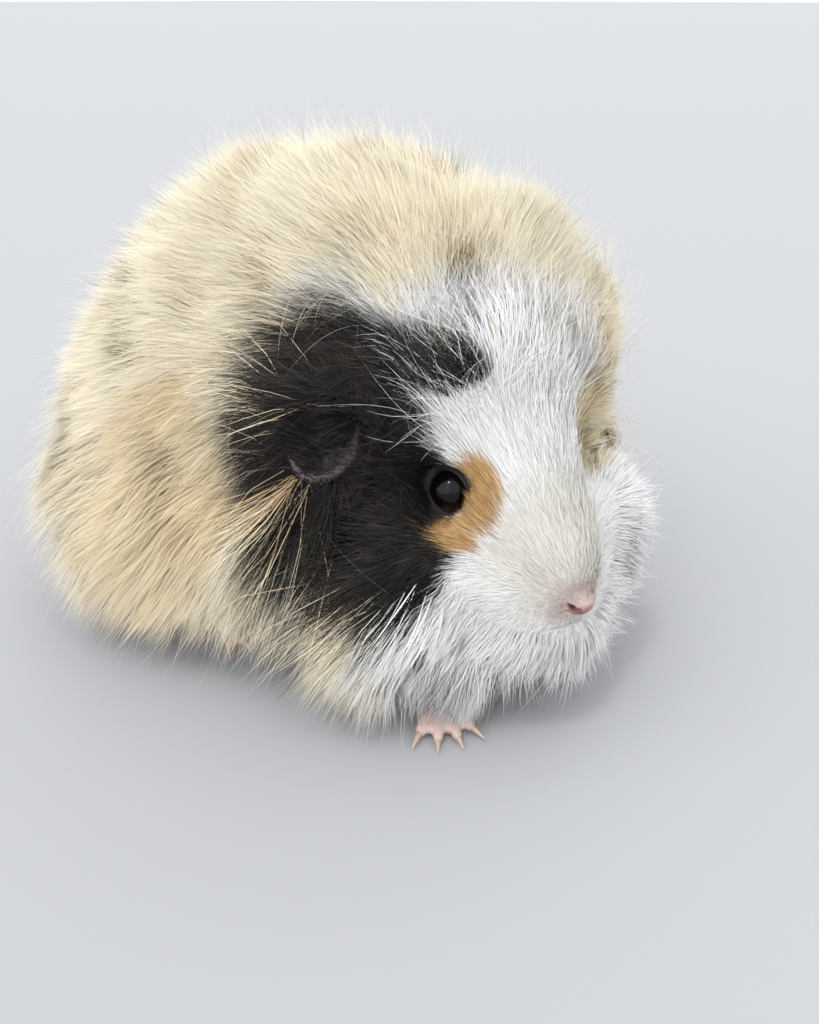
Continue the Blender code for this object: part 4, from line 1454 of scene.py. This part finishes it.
# %% Masks of the lids, the ears and the feet
lid_dark = np.zeros(len(seat))
corner_skin = np.zeros(len(seat))
for side in EYE_MM:
    near = np.linalg.norm(skin_head - EYE_MM[side], axis=1)
    lid_dark = np.maximum(lid_dark, 1.0 - smoothstep(near, EYE_RADIUS / MM + 1.4, EYE_RADIUS / MM + 4.0))
    outward, forward, up = eye_axes(side)
    corner_place = EYE_MM[side] + (EYE_RADIUS / MM + 0.6) * unit(forward + 0.25 * outward - 0.25 * up)
    near_corner = np.linalg.norm(skin_head - corner_place, axis=1)
    corner_skin = np.maximum(corner_skin, 1.0 - smoothstep(near_corner, 0.8, 2.6))
masks = {
    "seat": seat, "tone": np.full(len(seat), 0.5), "lock": np.full(len(seat), 0.5), "along": np.full(len(seat), 0.1),
    "pink": nose_pink, "crease": crease, "corner": corner_skin, "lid": lid_dark, "ear": in_ear,
    "rim": 0.8 * in_ear * (1.0 - smoothstep(rim_distance, 0.9 * MM, 1.5 * MM)),
    "foot": smoothstep(0.014 - skin_points[:, 2], 0.0, 0.004),
}
for name, values in masks.items():
    point_attribute(skin.data, name, values)
measure_marks(skin.data)
print("masks:", ", ".join(masks))

# %% The skin's material
shader = Shader("skin")
marks = Coat(shader)
under_fur = shader.mix(marks.color(), rgb(205, 165, 150), 0.15)
dark_patch = marks.area("black")
color = shader.mix(under_fur, rgb(44, 38, 38), shader.attribute("ear") * dark_patch * 0.9)
color = shader.mix(color, rgb(104, 94, 90), shader.attribute("rim") * dark_patch)
color = shader.mix(color, rgb(196, 160, 148), shader.attribute("foot") * 0.8)
# The crease colour is painted shade in the nostrils, the lip groove and the mouth line; the other colours are bare
# skin.
for mask, bare_or_shade_color in (
    ("lid", rgb(38, 33, 34)), ("corner", rgb(108, 100, 112)),
    ("pink", rgb(166, 118, 115)), ("crease", rgb(98, 62, 62)),
):
    color = shader.mix(color, bare_or_shade_color, shader.attribute(mask))
place = shader.make("ShaderNodeTexCoord", None, None, "Object")
grain = shader.noise(place, 900.0, 3.0)
bump = shader.make("ShaderNodeBump", None, {"Strength": 0.35, "Distance": 0.0003, "Height": grain})
skin_material = shader.finish(Base_Color=color, Roughness=0.55, Normal=bump, Specular_IOR_Level=0.35)
skin.data.materials.clear()
skin.data.materials.append(skin_material)
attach(skin, "root")
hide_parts(*FLESH, *FEET, *EARS, "nose")
bpy.data.objects.remove(outside)
print("skin wears", skin_material.name)

# %% [markdown]
# ## Eyes and claws
# An eyeball is a plain ball, dark all over, because the iris of a guinea pig is nearly black. Its gloss does
# the rest: a small lamp leaves one spark on it. The claws are horn, so they are harder and shinier than the toes.

# %% Eyeballs
for side in EYES:
    bm = bmesh.new()
    bmesh.ops.create_uvsphere(bm, u_segments=48, v_segments=32, radius=EYE_RADIUS)
    mesh = bpy.data.meshes.new("eyeball_" + side)
    bm.to_mesh(mesh)
    bm.free()
    turn = (HEAD_TURN @ Vector(EYE_OUTWARD[side])).to_track_quat("Z", "Y").to_matrix().to_4x4()
    mesh.transform(Matrix.Translation(EYES[side]) @ turn)
    for polygon in mesh.polygons:
        polygon.use_smooth = True
    eyeball = bpy.data.objects.new("eyeball_" + side, mesh)
    SCENE.collection.objects.link(eyeball)
    shader = Shader("eye_" + side)
    mesh.materials.append(shader.finish(Base_Color=rgb(9, 6, 5), Roughness=0.03, Specular_IOR_Level=0.22))
    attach(eyeball, "root")
    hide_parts("eye_" + side)
print("eyeballs:", len(EYES))

# %% Claws
# Each claw is a tapering tube that curves down to a blunt point.
shader = Shader("horn")
claw_material = shader.finish(Base_Color=rgb(196, 168, 148), Roughness=0.35)
RINGS, SIDES = 7, 12
for name, (base, tip) in CLAWS.items():
    length_ways = unit(tip - base)
    sideways_axis = unit(np.cross(length_ways, (0.0, 0.0, 1.0)))
    upward_axis = np.cross(sideways_axis, length_ways)
    around = np.linspace(0.0, 2.0 * math.pi, SIDES, endpoint=False)
    points = []
    for share in np.linspace(-0.15, 1.0, RINGS):
        middle = base + (tip - base) * share + upward_axis * (0.45 * MM * (0.25 - (share - 0.5) ** 2))
        size = 0.74 * MM * (1.0 - 0.85 * max(share, 0.0) ** 1.4)
        ring = np.cos(around)[:, None] * sideways_axis + np.sin(around)[:, None] * upward_axis
        points.append(middle + size * ring)
    points = np.concatenate(points)
    points[:, 2] = np.maximum(points[:, 2], 0.1 * MM)
    faces = []
    for first in range(0, (RINGS - 1) * SIDES, SIDES):
        for k in range(SIDES):
            after = (k + 1) % SIDES
            faces.append((first + k, first + after, first + SIDES + after, first + SIDES + k))
    faces += [tuple(reversed(range(SIDES))), tuple(range((RINGS - 1) * SIDES, RINGS * SIDES))]
    mesh = bpy.data.meshes.new("horn_" + name)
    mesh.from_pydata(points.tolist(), [], faces)
    for polygon in mesh.polygons:
        polygon.use_smooth = True
    mesh.materials.append(claw_material)
    claw = bpy.data.objects.new("horn_" + name, mesh)
    SCENE.collection.objects.link(claw)
    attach(claw, "root")
    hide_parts(name)
print("claws:", len(CLAWS))

# %% [markdown]
# ## Floor and last bounds
# The floor is only there to take the shadow, so it is marked as stage and isn't part of the animal. Last of
# all, the box of the finished animal is printed beside the box of the solids.

# %% Floor
bm = bmesh.new()
bmesh.ops.create_grid(bm, x_segments=1, y_segments=1, size=30.0)
mesh = bpy.data.meshes.new("floor")
bm.to_mesh(mesh)
bm.free()
floor = bpy.data.objects.new("floor", mesh)
floor.location = (0.0, 0.0, -0.0002)
SCENE.collection.objects.link(floor)
shader = Shader("pale floor")
mesh.materials.append(shader.finish(Base_Color=rgb(178, 179, 181), Roughness=0.9))
floor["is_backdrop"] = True
print("floor:", [round(v) for v in floor.dimensions], "m")

# %% Print the new bounds beside those of the solids
new_box = [list(corner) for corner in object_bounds()]
for title, box in (("solids", cad_box), ("now", new_box)):
    print(title, [[round(v / MM, 1) for v in corner] for corner in box])
